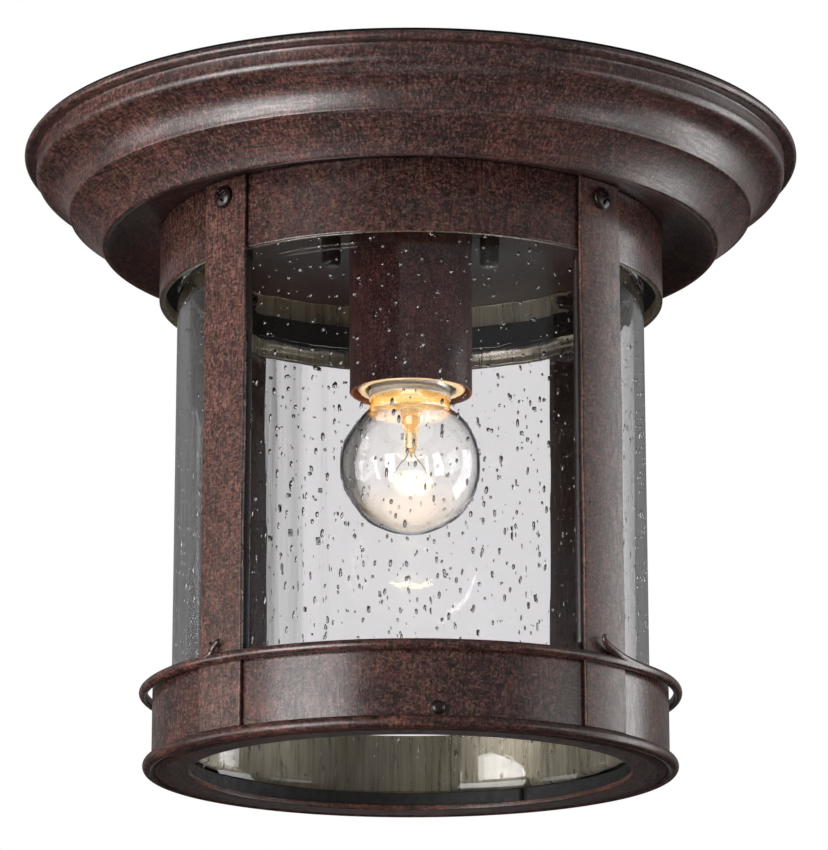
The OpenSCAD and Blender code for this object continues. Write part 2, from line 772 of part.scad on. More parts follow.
module nipple() {
    color("#b8a060") tube(nipple_d / 2, nipple_bore / 2, nipple_top_drop, nipple_bottom);
}

module nipple_locknuts() {
    upper = seat_floor - eyelet_t;
    lower = sleeve_top + sleeve_wall;
    color("silver") difference() {
        union() {
            hex(nipple_nut_af, upper - nipple_nut_h, upper);
            hex(nipple_nut_af, lower, lower + nipple_nut_h);
        }
        disc(nipple_d / 2 + hole_play, upper - nipple_nut_h - over, lower + nipple_nut_h + over);
    }
}

module socket_cap() {
    color("silver") difference() {
        union() {
            disc(socket_r - cap_plate_inset, nipple_bottom, socket_top_drop);
            disc(hub_r, nipple_bottom - hub_h, nipple_bottom + eps);
        }
        disc(nipple_d / 2 + hole_play, nipple_bottom - hub_h - over, nipple_bottom);
        disc(nipple_bore / 2, nipple_bottom - over, socket_top_drop + over);
    }
}

module socket_body() {
    wire_r = lead_d / 2 + rest_gap;
    color("ivory") difference() {
        disc(socket_r, socket_top_drop, socket_bottom);
        disc(well_r, well_floor, socket_bottom + over);
        for (s = [1, -1]) translate([s * lead_offset, 0, 0])
            disc(wire_r, socket_top_drop - over, socket_top_drop + over);
    }
}

module screw_shell() {
    r = shell_d / 2;
    lip_h = 2;
    color("#c9a24a") {
        tube(r + shell_wall, r, shell_bottom - shell_h, shell_bottom);
        tube(well_r, r, shell_bottom - lip_h, shell_bottom);
    }
}

module centre_contact() {
    guide_h = 1.1;
    color("#c9a24a") {
        disc(tongue_d / 2, tongue_drop - tongue_t, tongue_drop);
        disc(tongue_d / 4, tongue_drop - guide_h, tongue_drop - tongue_t + eps);
    }
}

module hot_lead() {
    color("#1c1c1c") swept(hot_route, lead_d);
}

module neutral_lead() {
    color("white") swept(neutral_route, lead_d);
}

module ground_lead() {
    eyelet_r = norm([ground_route[0][0], ground_route[0][1]]) + lead_d / 4;
    color("green") {
        swept(ground_route, lead_d);
        tube(eyelet_r, nipple_d / 2 + pass_play, seat_floor - eyelet_t, seat_floor);
    }
}

module wire_connectors() {
    color("#c8641e") for (s = [0, 180]) rotate([0, 0, s]) translate(connector_start)
        rotate([0, -90, 0]) difference() {
            cylinder(d1 = connector_d, d2 = connector_tip_d, h = connector_len);
            translate([0, 0, -eps]) cylinder(d = lead_d + 2 * hole_play, h = connector_len / 2);
        }
}

// Outer line of the lamp's glass, from the globe's lowest point to the neck's upper end
neck_flare = 1.2;
shoulder_h = 4.5;
globe_turn = asin((neck_r + neck_flare) / globe_r);
shoulder_drop = globe_drop - globe_r * cos(globe_turn);
globe_line = concat(
    arc([0, globe_drop], globe_r, 90, -90 + globe_turn, 24),
    [[neck_r + neck_flare / 5, shoulder_drop - shoulder_h / 2],
     [neck_r, shoulder_drop - shoulder_h], [neck_r, neck_top]]
);
globe_inner = [for (p = moved(globe_line, -globe_wall)) [max(p[0], 0), p[1]]];

module lamp_globe() {
    color("#fff0d0", 0.3)
        lathe(concat(globe_line, reversed(globe_inner)));
}

module lamp_base() {
    crown_in = tip_d / 2 + 1;
    color("silver") {
        tube(base_r, base_r - base_wall, lamp_base_top, lamp_base_bottom);
        tube(base_r, crown_in, lamp_base_top, lamp_base_top + base_wall);
    }
}

module lamp_insulator() {
    foot_r = base_r - 2;
    crown_r = tip_d / 2 + 0.6;
    color("black") difference() {
        translate([0, 0, -lamp_base_top + rest_gap])
            cylinder(r1 = foot_r, r2 = crown_r, h = insulator_h - rest_gap);
        disc(tip_d / 4 + rest_gap, insulator_top - over, lamp_base_top + over);
    }
}

module lamp_tip() {
    color("#8d8f92") {
        disc(tip_d / 2, tip_top, insulator_top - rest_gap);
        disc(tip_d / 4, insulator_top - rest_gap - eps, lamp_base_top - 0.5);
    }
}

module lamp_stem() {
    flare_top = neck_top + 4;
    flare_r = neck_r - globe_wall - rest_gap;
    edge = 0.8;
    bell_h = 4;
    color("#dfe6e6", 0.5) lathe([[0, flare_top], [flare_r, flare_top], [flare_r, flare_top + edge],
        [stem_d / 2 + edge, flare_top + bell_h], [stem_d / 2, flare_top + bell_h + 3],
        [stem_d / 2, stem_drop], [0, stem_drop + stem_d / 4]]);
}

module lamp_filament() {
    wire = 0.5;
    coil = 1;
    sweep = 160;
    ends = [270 - sweep / 2, 270 + sweep / 2];
    color("#ffb040") {
        translate([0, 0, -filament_drop]) rotate([0, 0, ends[0]]) rotate_extrude(angle = sweep)
            translate([filament_r, 0]) circle(d = coil, $fn = 16);
        for (a = ends) rotate([0, 0, a]) {
            translate([filament_r, 0, -filament_drop - coil / 2])
                cylinder(d = wire, h = filament_fall + coil, $fn = 16);
            translate([0, 0, -stem_drop + wire / 2]) rod_x(wire / 2, stem_d / 2 - wire, filament_r, $fn = 16);
        }
    }
}

rim_gasket();
canopy();
mounting_plate();
plate_studs();
stud_locknuts();
cap_nuts();
ground_screw();
top_band();
cage_screws();
cage_nuts();
strap_front_right();
strap_back_right();
strap_back_left();
strap_front_left();
strap_screws();
strap_nuts();
lower_band();
hoop();
hoop_curls();
base_ring();
base_rivets();
strip_gasket();
upper_strip();
glass_cylinder();
socket_sleeve();
nipple();
nipple_locknuts();
socket_cap();
socket_body();
screw_shell();
centre_contact();
hot_lead();
neutral_lead();
ground_lead();
wire_connectors();
lamp_globe();
lamp_base();
lamp_insulator();
lamp_tip();
lamp_stem();
lamp_filament();
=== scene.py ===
"""Looks of an outdoor flush mount lantern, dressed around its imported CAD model.

The lantern hangs from the plane z = 0 towards -Z and its axis is the Z axis. Sizes in this file are millimetres and
every mesh is written in metres. A profile point is (radius, z), and an angle is counted from +X towards +Y.
"""

import logging
import math
from dataclasses import dataclass
from enum import Enum
from typing import Callable, Optional, Sequence, Union

import bpy
import numpy as np
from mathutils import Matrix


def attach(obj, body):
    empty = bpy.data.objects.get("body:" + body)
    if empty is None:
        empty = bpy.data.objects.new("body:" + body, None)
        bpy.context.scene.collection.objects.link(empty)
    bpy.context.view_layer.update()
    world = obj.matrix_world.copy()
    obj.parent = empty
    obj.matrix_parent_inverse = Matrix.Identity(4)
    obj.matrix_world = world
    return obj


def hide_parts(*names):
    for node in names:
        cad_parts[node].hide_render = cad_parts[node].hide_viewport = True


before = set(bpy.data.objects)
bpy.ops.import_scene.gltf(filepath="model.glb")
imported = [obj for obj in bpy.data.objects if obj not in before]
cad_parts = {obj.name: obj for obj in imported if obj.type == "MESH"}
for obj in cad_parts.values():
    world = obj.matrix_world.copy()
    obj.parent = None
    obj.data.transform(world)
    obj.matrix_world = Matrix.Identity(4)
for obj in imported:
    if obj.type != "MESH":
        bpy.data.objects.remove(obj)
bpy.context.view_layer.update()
LOG = logging.getLogger("lantern")
MM = 0.001
TAU = 2 * math.pi
STRAP_ANGLES = (45.0, 135.0, 225.0, 315.0)
Array = np.ndarray


# ---------------------------------------------------------------- shapes


def quad_grid(rows: int, cols: int, wrap_rows: bool = False, wrap_cols: bool = False) -> Array:
    """Number the quads of a grid of points that is stored row by row.

    Args:
        rows: Rows of points.
        cols: Points in a row.
        wrap_rows: Whether the last row joins the first one.
        wrap_cols: Whether the last point of a row joins its first one.

    Returns:
        One row of four point numbers for each quad.
    """
    r = np.arange(rows if wrap_rows else rows - 1)[:, None]
    c = np.arange(cols if wrap_cols else cols - 1)[None, :]
    below, beside = (r + 1) % rows, (c + 1) % cols
    quads = np.stack([r * cols + c, r * cols + beside, below * cols + beside, below * cols + c], axis=-1)
    return quads.reshape(-1, 4)


def signed_volume(points: Array, faces: Sequence[Array]) -> float:
    """Add up the tetrahedra from the origin to each face; the sum is negative on a shell turned inside out.

    Args:
        points: Points of one closed shell.
        faces: Arrays of triangles and quads.

    Returns:
        The volume, with its sign.
    """
    total = 0.0
    for part in faces:
        a = points[part[:, 0]]
        for k in range(1, part.shape[1] - 1):
            total += float(np.einsum("ij,ij->i", a, np.cross(points[part[:, k]], points[part[:, k + 1]])).sum())
    return total / 6


@dataclass
class Shell:
    """One closed surface: its points in millimetres and its faces."""

    points: Array
    faces: list[Array]

    def facing(self, outwards: bool = True) -> "Shell":
        """Turn every face outwards, or inwards for a hollow inside a wall.

        Args:
            outwards: Whether the faces point away from the shell's inside.

        Returns:
            The same shell, with its faces turned where needed.
        """
        if (signed_volume(self.points, self.faces) > 0) != outwards:
            self.faces = [part[:, ::-1] for part in self.faces]
        return self


def rounded(corners: Sequence[tuple[float, float, float]], closed: bool = True, steps: int = 4) -> Array:
    """Outline whose corners are softened.

    Each corner c with its reach d becomes the curve (1-t)^2 a + 2t(1-t) c + t^2 b, where a and b lie at the distance
    d from c on its two sides. A point a little further out on each side keeps the shading of the flat beside it.

    Args:
        corners: Points (radius, z, reach of the softening).
        closed: Whether the last corner joins the first one.
        steps: Pieces of each curve.

    Returns:
        The outline's points.
    """
    places = np.array([c[:2] for c in corners], float)
    reach = [c[2] for c in corners]
    count = len(corners)
    t = np.linspace(0, 1, steps + 1)[:, None]
    line = []
    for i, corner in enumerate(places):
        if reach[i] <= 0 or (not closed and i in (0, count - 1)):
            line.append(corner[None, :])
            continue
        before, after = places[i - 1] - corner, places[(i + 1) % count] - corner
        a = corner + before / np.linalg.norm(before) * reach[i]
        b = corner + after / np.linalg.norm(after) * reach[i]
        curve = (1 - t) ** 2 * a + 2 * t * (1 - t) * corner + t ** 2 * b
        margin = 0.15 * (curve[0] - corner), 0.15 * (curve[-1] - corner)
        line += [(curve[0] + margin[0])[None, :], curve, (curve[-1] + margin[1])[None, :]]
    return np.concatenate(line)


def arc(centre: tuple[float, float], radius: float, start: float, end: float, steps: int) -> Array:
    """Points of a profile's arc, centre + radius (cos a, sin a) with a from start to end in degrees."""
    a = np.radians(np.linspace(start, end, steps + 1))
    return np.array(centre) + radius * np.stack([np.cos(a), np.sin(a)], axis=1)


def bowed(start: Array, end: Array, sag: float, steps: int) -> Array:
    """Parabola from start to end.

    Args:
        start: First point.
        end: Last point.
        sag: How far its middle stands off the straight way, to the left of the way.
        steps: Pieces of the curve.

    Returns:
        The points start + (end - start) t + side 4 sag t (1 - t), side being the way's left normal.
    """
    t = np.linspace(0, 1, steps + 1)[:, None]
    way = end - start
    side = np.array([-way[1], way[0]]) / np.linalg.norm(way)
    return start + way * t + side * 4 * sag * t * (1 - t)


def offset(line: Array, distance: float) -> Array:
    """Move an outline to its left, each point along the mean normal of its two sides.

    Args:
        line: Outline points (radius, z).
        distance: How far the outline's sides move.

    Returns:
        The moved outline.
    """
    step = np.diff(line, axis=0)
    step /= np.linalg.norm(step, axis=1)[:, None]
    before, after = np.vstack([step[:1], step]), np.vstack([step, step[-1:]])
    mean = before + after
    mean /= np.linalg.norm(mean, axis=1)[:, None]
    stretch = 1 / np.sqrt((1 + (before * after).sum(axis=1)) / 2)
    return line + distance * stretch[:, None] * np.stack([-mean[:, 1], mean[:, 0]], axis=1)


def lathe(line: Array, segments: int, wobble: Optional[Callable[[Array, Array, Array], Array]] = None) -> Shell:
    """Turn an outline around the axis: a point is (r cos a, r sin a, z).

    An outline that starts and ends on the axis gets a fan of triangles at each end, any other is closed in a ring.

    Args:
        line: Outline points (radius, z).
        segments: Steps around the axis.
        wobble: Gives the change of radius from radius, z and angle, for a wall that isn't quite true.

    Returns:
        The closed shell.
    """
    angle = np.linspace(0, TAU, segments, endpoint=False)[None, :]
    capped = line[0, 0] < 1e-6 and line[-1, 0] < 1e-6
    body = line[1:-1] if capped else line
    r, z = body[:, 0][:, None] + 0 * angle, body[:, 1][:, None] + 0 * angle
    if wobble is not None:
        r = r + wobble(r, z, angle)
    points = np.stack([r * np.cos(angle), r * np.sin(angle), z], axis=-1).reshape(-1, 3)
    if not capped:
        return Shell(points, [quad_grid(len(body), segments, True, True)]).facing()
    poles = np.array([[0, 0, line[0, 1]], [0, 0, line[-1, 1]]])
    k = np.arange(segments)
    last = (len(body) - 1) * segments
    fans = [np.stack([k * 0 + len(points), (k + 1) % segments, k], axis=1),
            np.stack([k * 0 + len(points) + 1, last + k, last + (k + 1) % segments], axis=1)]
    return Shell(np.vstack([points, poles]), [quad_grid(len(body), segments, False, True)] + fans).facing()


def ruled(sections: Array) -> Shell:
    """Join closed sections of equally many points into a solid, with a fan at each end from the section's middle.

    Args:
        sections: Array of shape (sections, points, 3).

    Returns:
        The closed shell.
    """
    count, around = sections.shape[:2]
    points = sections.reshape(-1, 3)
    middles = sections[[0, -1]].mean(axis=1)
    k = np.arange(around)
    last = (count - 1) * around
    fans = [np.stack([k * 0 + len(points), (k + 1) % around, k], axis=1),
            np.stack([k * 0 + len(points) + 1, last + k, last + (k + 1) % around], axis=1)]
    return Shell(np.vstack([points, middles]), [quad_grid(count, around, False, True)] + fans).facing()


def wire(path: Array, radius: Array, sides: int, up: Sequence[float] = (0, 0, 1), closed: bool = False) -> Shell:
    """Carry a circle along a path: p + radius (cos b u + sin b v), where u is the part of up across the path.

    Args:
        path: Points of the centre line.
        radius: Radius at each point, or one for all.
        sides: Points around the wire.
        up: A direction that the path never follows.
        closed: Whether the path's end joins its start.

    Returns:
        The closed shell.
    """
    way = (np.roll(path, -1, axis=0) - np.roll(path, 1, axis=0)) if closed else np.gradient(path, axis=0)
    way /= np.linalg.norm(way, axis=1)[:, None]
    u = np.array(up, float)[None, :] - (way @ np.array(up, float))[:, None] * way
    u /= np.linalg.norm(u, axis=1)[:, None]
    v = np.cross(way, u)
    b = np.linspace(0, TAU, sides, endpoint=False)[None, :, None]
    size = np.broadcast_to(np.asarray(radius, float), (len(path),))[:, None, None]
    rings = path[:, None, :] + size * (np.cos(b) * u[:, None, :] + np.sin(b) * v[:, None, :])
    if closed:
        return Shell(rings.reshape(-1, 3), [quad_grid(len(path), sides, True, True)]).facing()
    return ruled(rings)


def spline(points: Sequence[Sequence[float]], steps: int) -> Array:
    """Smooth curve through points: each span is the cubic that leaves a point along its two neighbours' difference.

    Args:
        points: Points that the curve passes.
        steps: Pieces between two points.

    Returns:
        The curve's points.
    """
    p = np.array(points, float)
    p = np.vstack([2 * p[0] - p[1], p, 2 * p[-1] - p[-2]])
    t = np.linspace(0, 1, steps, endpoint=False)[None, :, None]
    a, b, c, d = p[:-3, None], p[1:-2, None], p[2:-1, None], p[3:, None]
    curve = (2 * b + (c - a) * t + (2 * a - 5 * b + 4 * c - d) * t ** 2 + (3 * b - a - 3 * c + d) * t ** 3) / 2
    return np.vstack([curve.reshape(-1, p.shape[1]), p[-2]])


def turned(shell: Shell, degrees: float) -> Shell:
    """Turn a shell around the lantern's axis.

    Args:
        shell: The shell, which stays as it is.
        degrees: Angle of the turn.

    Returns:
        The turned copy.
    """
    a = math.radians(degrees)
    matrix = np.array([[math.cos(a), math.sin(a), 0], [-math.sin(a), math.cos(a), 0], [0, 0, 1]])
    return Shell(shell.points @ matrix, list(shell.faces))


def shifted(shell: Shell, x: float, y: float, z: float) -> Shell:
    """Copy of a shell, moved by (x, y, z)."""
    return Shell(shell.points + np.array([x, y, z], float), list(shell.faces))


def laid(shell: Shell) -> Shell:
    """Copy of a shell whose +Z now points outwards along +X, for a screw or rivet that stands on a radius."""
    return Shell(shell.points[:, [2, 1, 0]] * np.array([1, -1, 1]), list(shell.faces)).facing()


class Waves:
    """Sum of cosines over angle and height, which gives a wall the gentle unevenness of handwork."""

    def __init__(self, seed: int, around: tuple[int, int], along: float, count: int, height: float) -> None:
        """Draw the waves.

        Args:
            seed: Seed of the draw.
            around: Fewest and most waves around the lantern.
            along: Most waves in a millimetre along the axis.
            count: Waves in the sum.
            height: Height of the sum in millimetres, as its spread.
        """
        draw = np.random.default_rng(seed)
        self.around = draw.integers(around[0], around[1], count)
        self.along = draw.uniform(-along, along, count) * TAU
        self.phase = draw.uniform(0, TAU, count)
        self.height = height * math.sqrt(2 / count)

    def __call__(self, angle: Array, z: Array) -> Array:
        """Add up the waves, height cos(n angle + m z + phase) for each.

        Args:
            angle: Angles.
            z: Heights on the axis, in an array that goes with the angles.

        Returns:
            Height of the sum at each place, in millimetres.
        """
        total = np.zeros(np.broadcast(angle, z).shape)
        for n, m, phase in zip(self.around, self.along, self.phase):
            total += np.cos(n * angle + m * z + phase)
        return self.height * total


# ---------------------------------------------------------------- finishes


SMOOTH = {"interpolation_type": "SMOOTHSTEP"}


def linear(hex_colour: str) -> tuple[float, float, float, float]:
    """Linear colour of an sRGB hex value such as #4a2f2c."""
    values = [int(hex_colour[i:i + 2], 16) / 255 for i in (1, 3, 5)]
    return (*[v / 12.92 if v <= 0.04045 else ((v + 0.055) / 1.055) ** 2.4 for v in values], 1.0)


def add_node(tree: bpy.types.NodeTree, kind: str, inputs: Union[dict, Sequence, None] = None,
             **settings: object) -> bpy.types.Node:
    """Add one node.

    Args:
        tree: Node tree that gets it.
        kind: The node's type, such as ShaderNodeMath.
        inputs: For each socket, by name or number, its value or the output that feeds it. A list fills the sockets
            in their order.
        **settings: The node's own properties.

    Returns:
        The node.
    """
    node = tree.nodes.new(kind)
    for key, value in settings.items():
        setattr(node, key, value)
    for key, value in inputs.items() if isinstance(inputs, dict) else enumerate(inputs or ()):
        if isinstance(value, bpy.types.NodeSocket):
            tree.links.new(value, node.inputs[key])
        else:
            node.inputs[key].default_value = value
    return node


def blank_material(name: str) -> bpy.types.Material:
    """Make a material whose tree holds only its output and a Principled shader.

    Args:
        name: Name of the material.

    Returns:
        The material.
    """
    material = bpy.data.materials.new(name)
    material.use_nodes = True
    return material


def parts_of(material: bpy.types.Material) -> tuple[bpy.types.NodeTree, bpy.types.Node, bpy.types.Node]:
    """Tree, Principled shader and output of a material."""
    tree = material.node_tree
    return tree, tree.nodes["Principled BSDF"], tree.nodes["Material Output"]


def per_mm(size: float) -> float:
    """Scale at which a texture on metres has one feature in each size millimetres."""
    return 1000 / size


class Grain(Enum):
    """Way in which a finish's fine marks run."""

    AROUND = "around the lantern, as a lathe or a brush leaves them on spun sheet"
    UPRIGHT = "along the lantern's axis, as a brush leaves them on a strap"
    EVEN = "no way at all, as on cast, moulded or plated pieces"


def axis_coordinates(tree: bpy.types.NodeTree) -> dict[str, bpy.types.NodeSocket]:
    """Object coordinates, split for patterns that run around the axis.

    Args:
        tree: Node tree that gets the nodes.

    Returns:
        The outputs: place, direction from the axis (length 1), radius and z.
    """
    place = add_node(tree, "ShaderNodeTexCoord").outputs["Object"]
    split = add_node(tree, "ShaderNodeSeparateXYZ", [place])
    flat = add_node(tree, "ShaderNodeCombineXYZ", [split.outputs[0], split.outputs[1]])
    radius = add_node(tree, "ShaderNodeVectorMath", [flat.outputs[0]], operation="LENGTH")
    direction = add_node(tree, "ShaderNodeVectorMath", [flat.outputs[0]], operation="NORMALIZE")
    return {"place": place, "direction": direction.outputs[0], "radius": radius.outputs["Value"],
            "z": split.outputs[2]}


def grain_noise(tree: bpy.types.NodeTree, at: dict[str, bpy.types.NodeSocket], grain: Grain, length: float,
                width: float, detail: float, bend: float = 0.0) -> bpy.types.NodeSocket:
    """Noise drawn out along the grain.

    Around the axis it reads (direction times a constant, radius, z), so that it has no seam: the constant sets how
    far it is drawn out. Upright it reads the direction finely and z coarsely. An even grain is as long as it is wide.

    Args:
        tree: Node tree that gets the nodes.
        at: What axis_coordinates gives.
        grain: Way of the marks.
        length: Length of a mark in millimetres, which an even grain doesn't use.
        width: Width of a mark in millimetres.
        detail: Octaves of the noise.
        bend: How far the marks of an even grain curl.

    Returns:
        The noise, about 0 to 1.
    """
    if grain is Grain.EVEN:
        noise = add_node(tree, "ShaderNodeTexNoise", {"Vector": at["place"], "Scale": per_mm(width), "Detail": detail,
                                                      "Roughness": 0.6, "Distortion": bend})
        return noise.outputs["Fac"]
    girth = 100.0
    around = girth / (length if grain is Grain.AROUND else width)
    along = per_mm(width if grain is Grain.AROUND else length)
    turn = add_node(tree, "ShaderNodeVectorMath", {0: at["direction"], "Scale": around}, operation="SCALE")
    rise = add_node(tree, "ShaderNodeMath", [at["z"], along], operation="MULTIPLY")
    out = add_node(tree, "ShaderNodeMath", [at["radius"], along], operation="MULTIPLY")
    lift = add_node(tree, "ShaderNodeCombineXYZ", {2: out.outputs[0]})
    both = add_node(tree, "ShaderNodeVectorMath", [turn.outputs[0], lift.outputs[0]], operation="ADD")
    noise = add_node(tree, "ShaderNodeTexNoise", {"Vector": both.outputs[0], "W": rise.outputs[0], "Scale": 1.0,
                                                  "Detail": detail, "Roughness": 0.6}, noise_dimensions="4D")
    return noise.outputs["Fac"]


@dataclass(frozen=True)
class BronzeLacquer:
    """Hand-rubbed bronze: steel sheet sprayed dark brown, rubbed with a redder glaze and lacquered satin.

    The eye sees a purple-brown ground, curly pale specks where the rub broke the glaze, fine dark strokes along and
    across the way of the brush, and a soft grey sheen where the lacquer turns towards a light. Where the sheet is
    sprayed from outside only, its inner side stays bare: khaki-grey zinc that shows blurred lights, under a roof whose
    colour is darkened as painted shade and whose spray is dull.
    """

    name: str
    grain: Grain
    ground: str = "#3f2524"
    brown: str = "#573633"
    red: str = "#6b413a"
    olive: str = "#54412f"
    pale: str = "#a58378"
    zinc_dark: str = "#86806d"
    zinc_light: str = "#a39d8b"
    roughness: float = 0.33
    stroke_length: float = 4.5
    stroke_width: float = 0.7
    cross: float = 0.6
    specks: float = 0.4
    specular: float = 0.6
    bump: float = 0.03
    bare_inside: bool = False
    bare_radius: float = 79.8
    bare_top: float = -26.8
    # Radius in millimetres below which the colour is darkened as painted shade; 0 leaves it out
    painted_shade_radius: float = 0.0

    def build(self) -> bpy.types.Material:
        """Make the material.

        Returns:
            The material.
        """
        material = blank_material(self.name)
        tree, shader, _ = parts_of(material)
        at = axis_coordinates(tree)
        other = Grain.UPRIGHT if self.grain is Grain.AROUND else Grain.AROUND
        strokes = grain_noise(tree, at, self.grain, self.stroke_length, self.stroke_width, 2.0)
        across = grain_noise(tree, at, other, self.stroke_length * 0.4, self.stroke_width * 0.9, 2.0)
        pits = grain_noise(tree, at, Grain.EVEN, 0, 0.95, 2.0)
        curls = grain_noise(tree, at, Grain.EVEN, 0, 1.7, 2.0, 1.2)
        # Clouds of the other colours over the ground: size in millimetres, octaves, curl, noise from and to, share
        colour = linear(self.ground)
        for tone, size, detail, bend, low, high, most in ((self.brown, 12, 5.0, 0.0, 0.38, 0.62, 1.0),
                                                          (self.red, 30, 5.0, 0.6, 0.48, 0.68, 0.6),
                                                          (self.olive, 2.2, 3.0, 0.0, 0.45, 0.7, 0.5)):
            clouds = grain_noise(tree, at, Grain.EVEN, 0, size, detail, bend)
            share = add_node(tree, "ShaderNodeMapRange", [clouds, low, high, 0.0, most], **SMOOTH).outputs[0]
            mix = add_node(tree, "ShaderNodeMix", {0: share, 6: colour, 7: linear(tone)}, data_type="RGBA")
            colour = mix.outputs[2]
        # Marks that darken and lighten it: noise from and to, darkest and lightest level
        levels = [add_node(tree, "ShaderNodeMapRange", inputs, **SMOOTH).outputs[0] for inputs in (
            [strokes, 0.36, 0.62, 0.42, 1.45],
            [across, 0.36, 0.62, 1.0 - 0.6 * self.cross, 1.0 + 0.3 * self.cross],
            [pits, 0.36, 0.56, 0.38, 1.2])]
        for level in levels:
            colour = add_node(tree, "ShaderNodeVectorMath", {0: colour, "Scale": level}, operation="SCALE").outputs[0]
        # Pale specks on the lines where the curled noise passes its middle
        line = add_node(tree, "ShaderNodeMath", [curls, 0.5, 0.03], operation="COMPARE").outputs[0]
        rubbed = add_node(tree, "ShaderNodeMapRange", [across, 0.42, 0.6, 0.0, self.specks], **SMOOTH).outputs[0]
        where = add_node(tree, "ShaderNodeMath", [line, rubbed], operation="MULTIPLY").outputs[0]
        colour = add_node(tree, "ShaderNodeMix", {0: where, 6: colour, 7: linear(self.pale)},
                          data_type="RGBA").outputs[2]
        gloss = add_node(tree, "ShaderNodeMapRange",
                         [strokes, 0.3, 0.7, self.roughness + 0.08, self.roughness - 0.04], **SMOOTH).outputs[0]
        # Painted shade: below the given radius the colour falls to 0.12 of itself, on the faces next to the band and on
        # the fold behind the strap
        if self.painted_shade_radius > 0:
            edge = add_node(tree, "ShaderNodeMapRange",
                            [at["radius"], self.painted_shade_radius * MM, (self.painted_shade_radius + 0.5) * MM, 0.12, 1.0], **SMOOTH)
            colour = add_node(tree, "ShaderNodeVectorMath", {0: colour, "Scale": edge.outputs[0]},
                              operation="SCALE").outputs[0]
        if self.bare_inside:
            colour, gloss = self.bared(tree, shader, at, colour, gloss)
        tree.links.new(colour, shader.inputs["Base Color"])
        tree.links.new(gloss, shader.inputs["Roughness"])
        depth = add_node(tree, "ShaderNodeMath", [strokes, pits], operation="ADD")
        bump = add_node(tree, "ShaderNodeBump",
                        {"Height": depth.outputs[0], "Distance": self.bump * MM, "Strength": 0.8})
        tree.links.new(bump.outputs["Normal"], shader.inputs["Normal"])
        shader.inputs["Specular IOR Level"].default_value = self.specular
        return material

    def bared(self, tree: bpy.types.NodeTree, shader: bpy.types.Node, at: dict[str, bpy.types.NodeSocket],
              colour: bpy.types.NodeSocket,
              gloss: bpy.types.NodeSocket) -> tuple[bpy.types.NodeSocket, bpy.types.NodeSocket]:
        """Bare the sheet within a radius, and darken the roof above it as painted shade and make it rougher.

        Args:
            tree: The material's tree.
            shader: Its Principled shader, which gets the metal.
            at: What axis_coordinates gives.
            colour: Colour of the lacquer.
            gloss: Roughness of the lacquer.

        Returns:
            Colour and roughness of the whole.
        """
        margin = 0.1
        roof_shade_level, roof_roughness, bare_metal = 0.36, 0.6, 0.85
        within = add_node(tree, "ShaderNodeMapRange", [at["radius"], (self.bare_radius - margin) * MM,
                                                       (self.bare_radius + margin) * MM, 1.0, 0.0], **SMOOTH).outputs[0]
        under = add_node(tree, "ShaderNodeMapRange", [at["z"], (self.bare_top - margin) * MM,
                                                      (self.bare_top + margin) * MM, 1.0, 0.0], **SMOOTH).outputs[0]
        bare = add_node(tree, "ShaderNodeMath", [within, under], operation="MULTIPLY").outputs[0]
        roof = add_node(tree, "ShaderNodeMath", [within, bare], operation="SUBTRACT").outputs[0]
        runs = grain_noise(tree, at, Grain.UPRIGHT, 26.0, 1.6, 3.0)
        share = add_node(tree, "ShaderNodeMapRange", [runs, 0.35, 0.65, 0.0, 1.0], **SMOOTH).outputs[0]
        zinc = add_node(tree, "ShaderNodeMix", {0: share, 6: linear(self.zinc_dark), 7: linear(self.zinc_light)},
                        data_type="RGBA").outputs[2]
        # Painted shade: the roof's colour is multiplied by 0.36
        dim = add_node(tree, "ShaderNodeMix", {0: roof, 2: 1.0, 3: roof_shade_level}).outputs[0]
        colour = add_node(tree, "ShaderNodeVectorMath", {0: colour, "Scale": dim}, operation="SCALE").outputs[0]
        colour = add_node(tree, "ShaderNodeMix", {0: bare, 6: colour, 7: zinc}, data_type="RGBA").outputs[2]
        blur = add_node(tree, "ShaderNodeMapRange", [runs, 0.3, 0.7, 0.26, 0.34], **SMOOTH).outputs[0]
        gloss = add_node(tree, "ShaderNodeMix", {0: roof, 2: gloss, 3: roof_roughness}).outputs[0]
        gloss = add_node(tree, "ShaderNodeMix", {0: bare, 2: gloss, 3: blur}).outputs[0]
        metal = add_node(tree, "ShaderNodeMix", {0: bare, 2: 0.0, 3: bare_metal}).outputs[0]
        tree.links.new(metal, shader.inputs["Metallic"])
        return colour, gloss


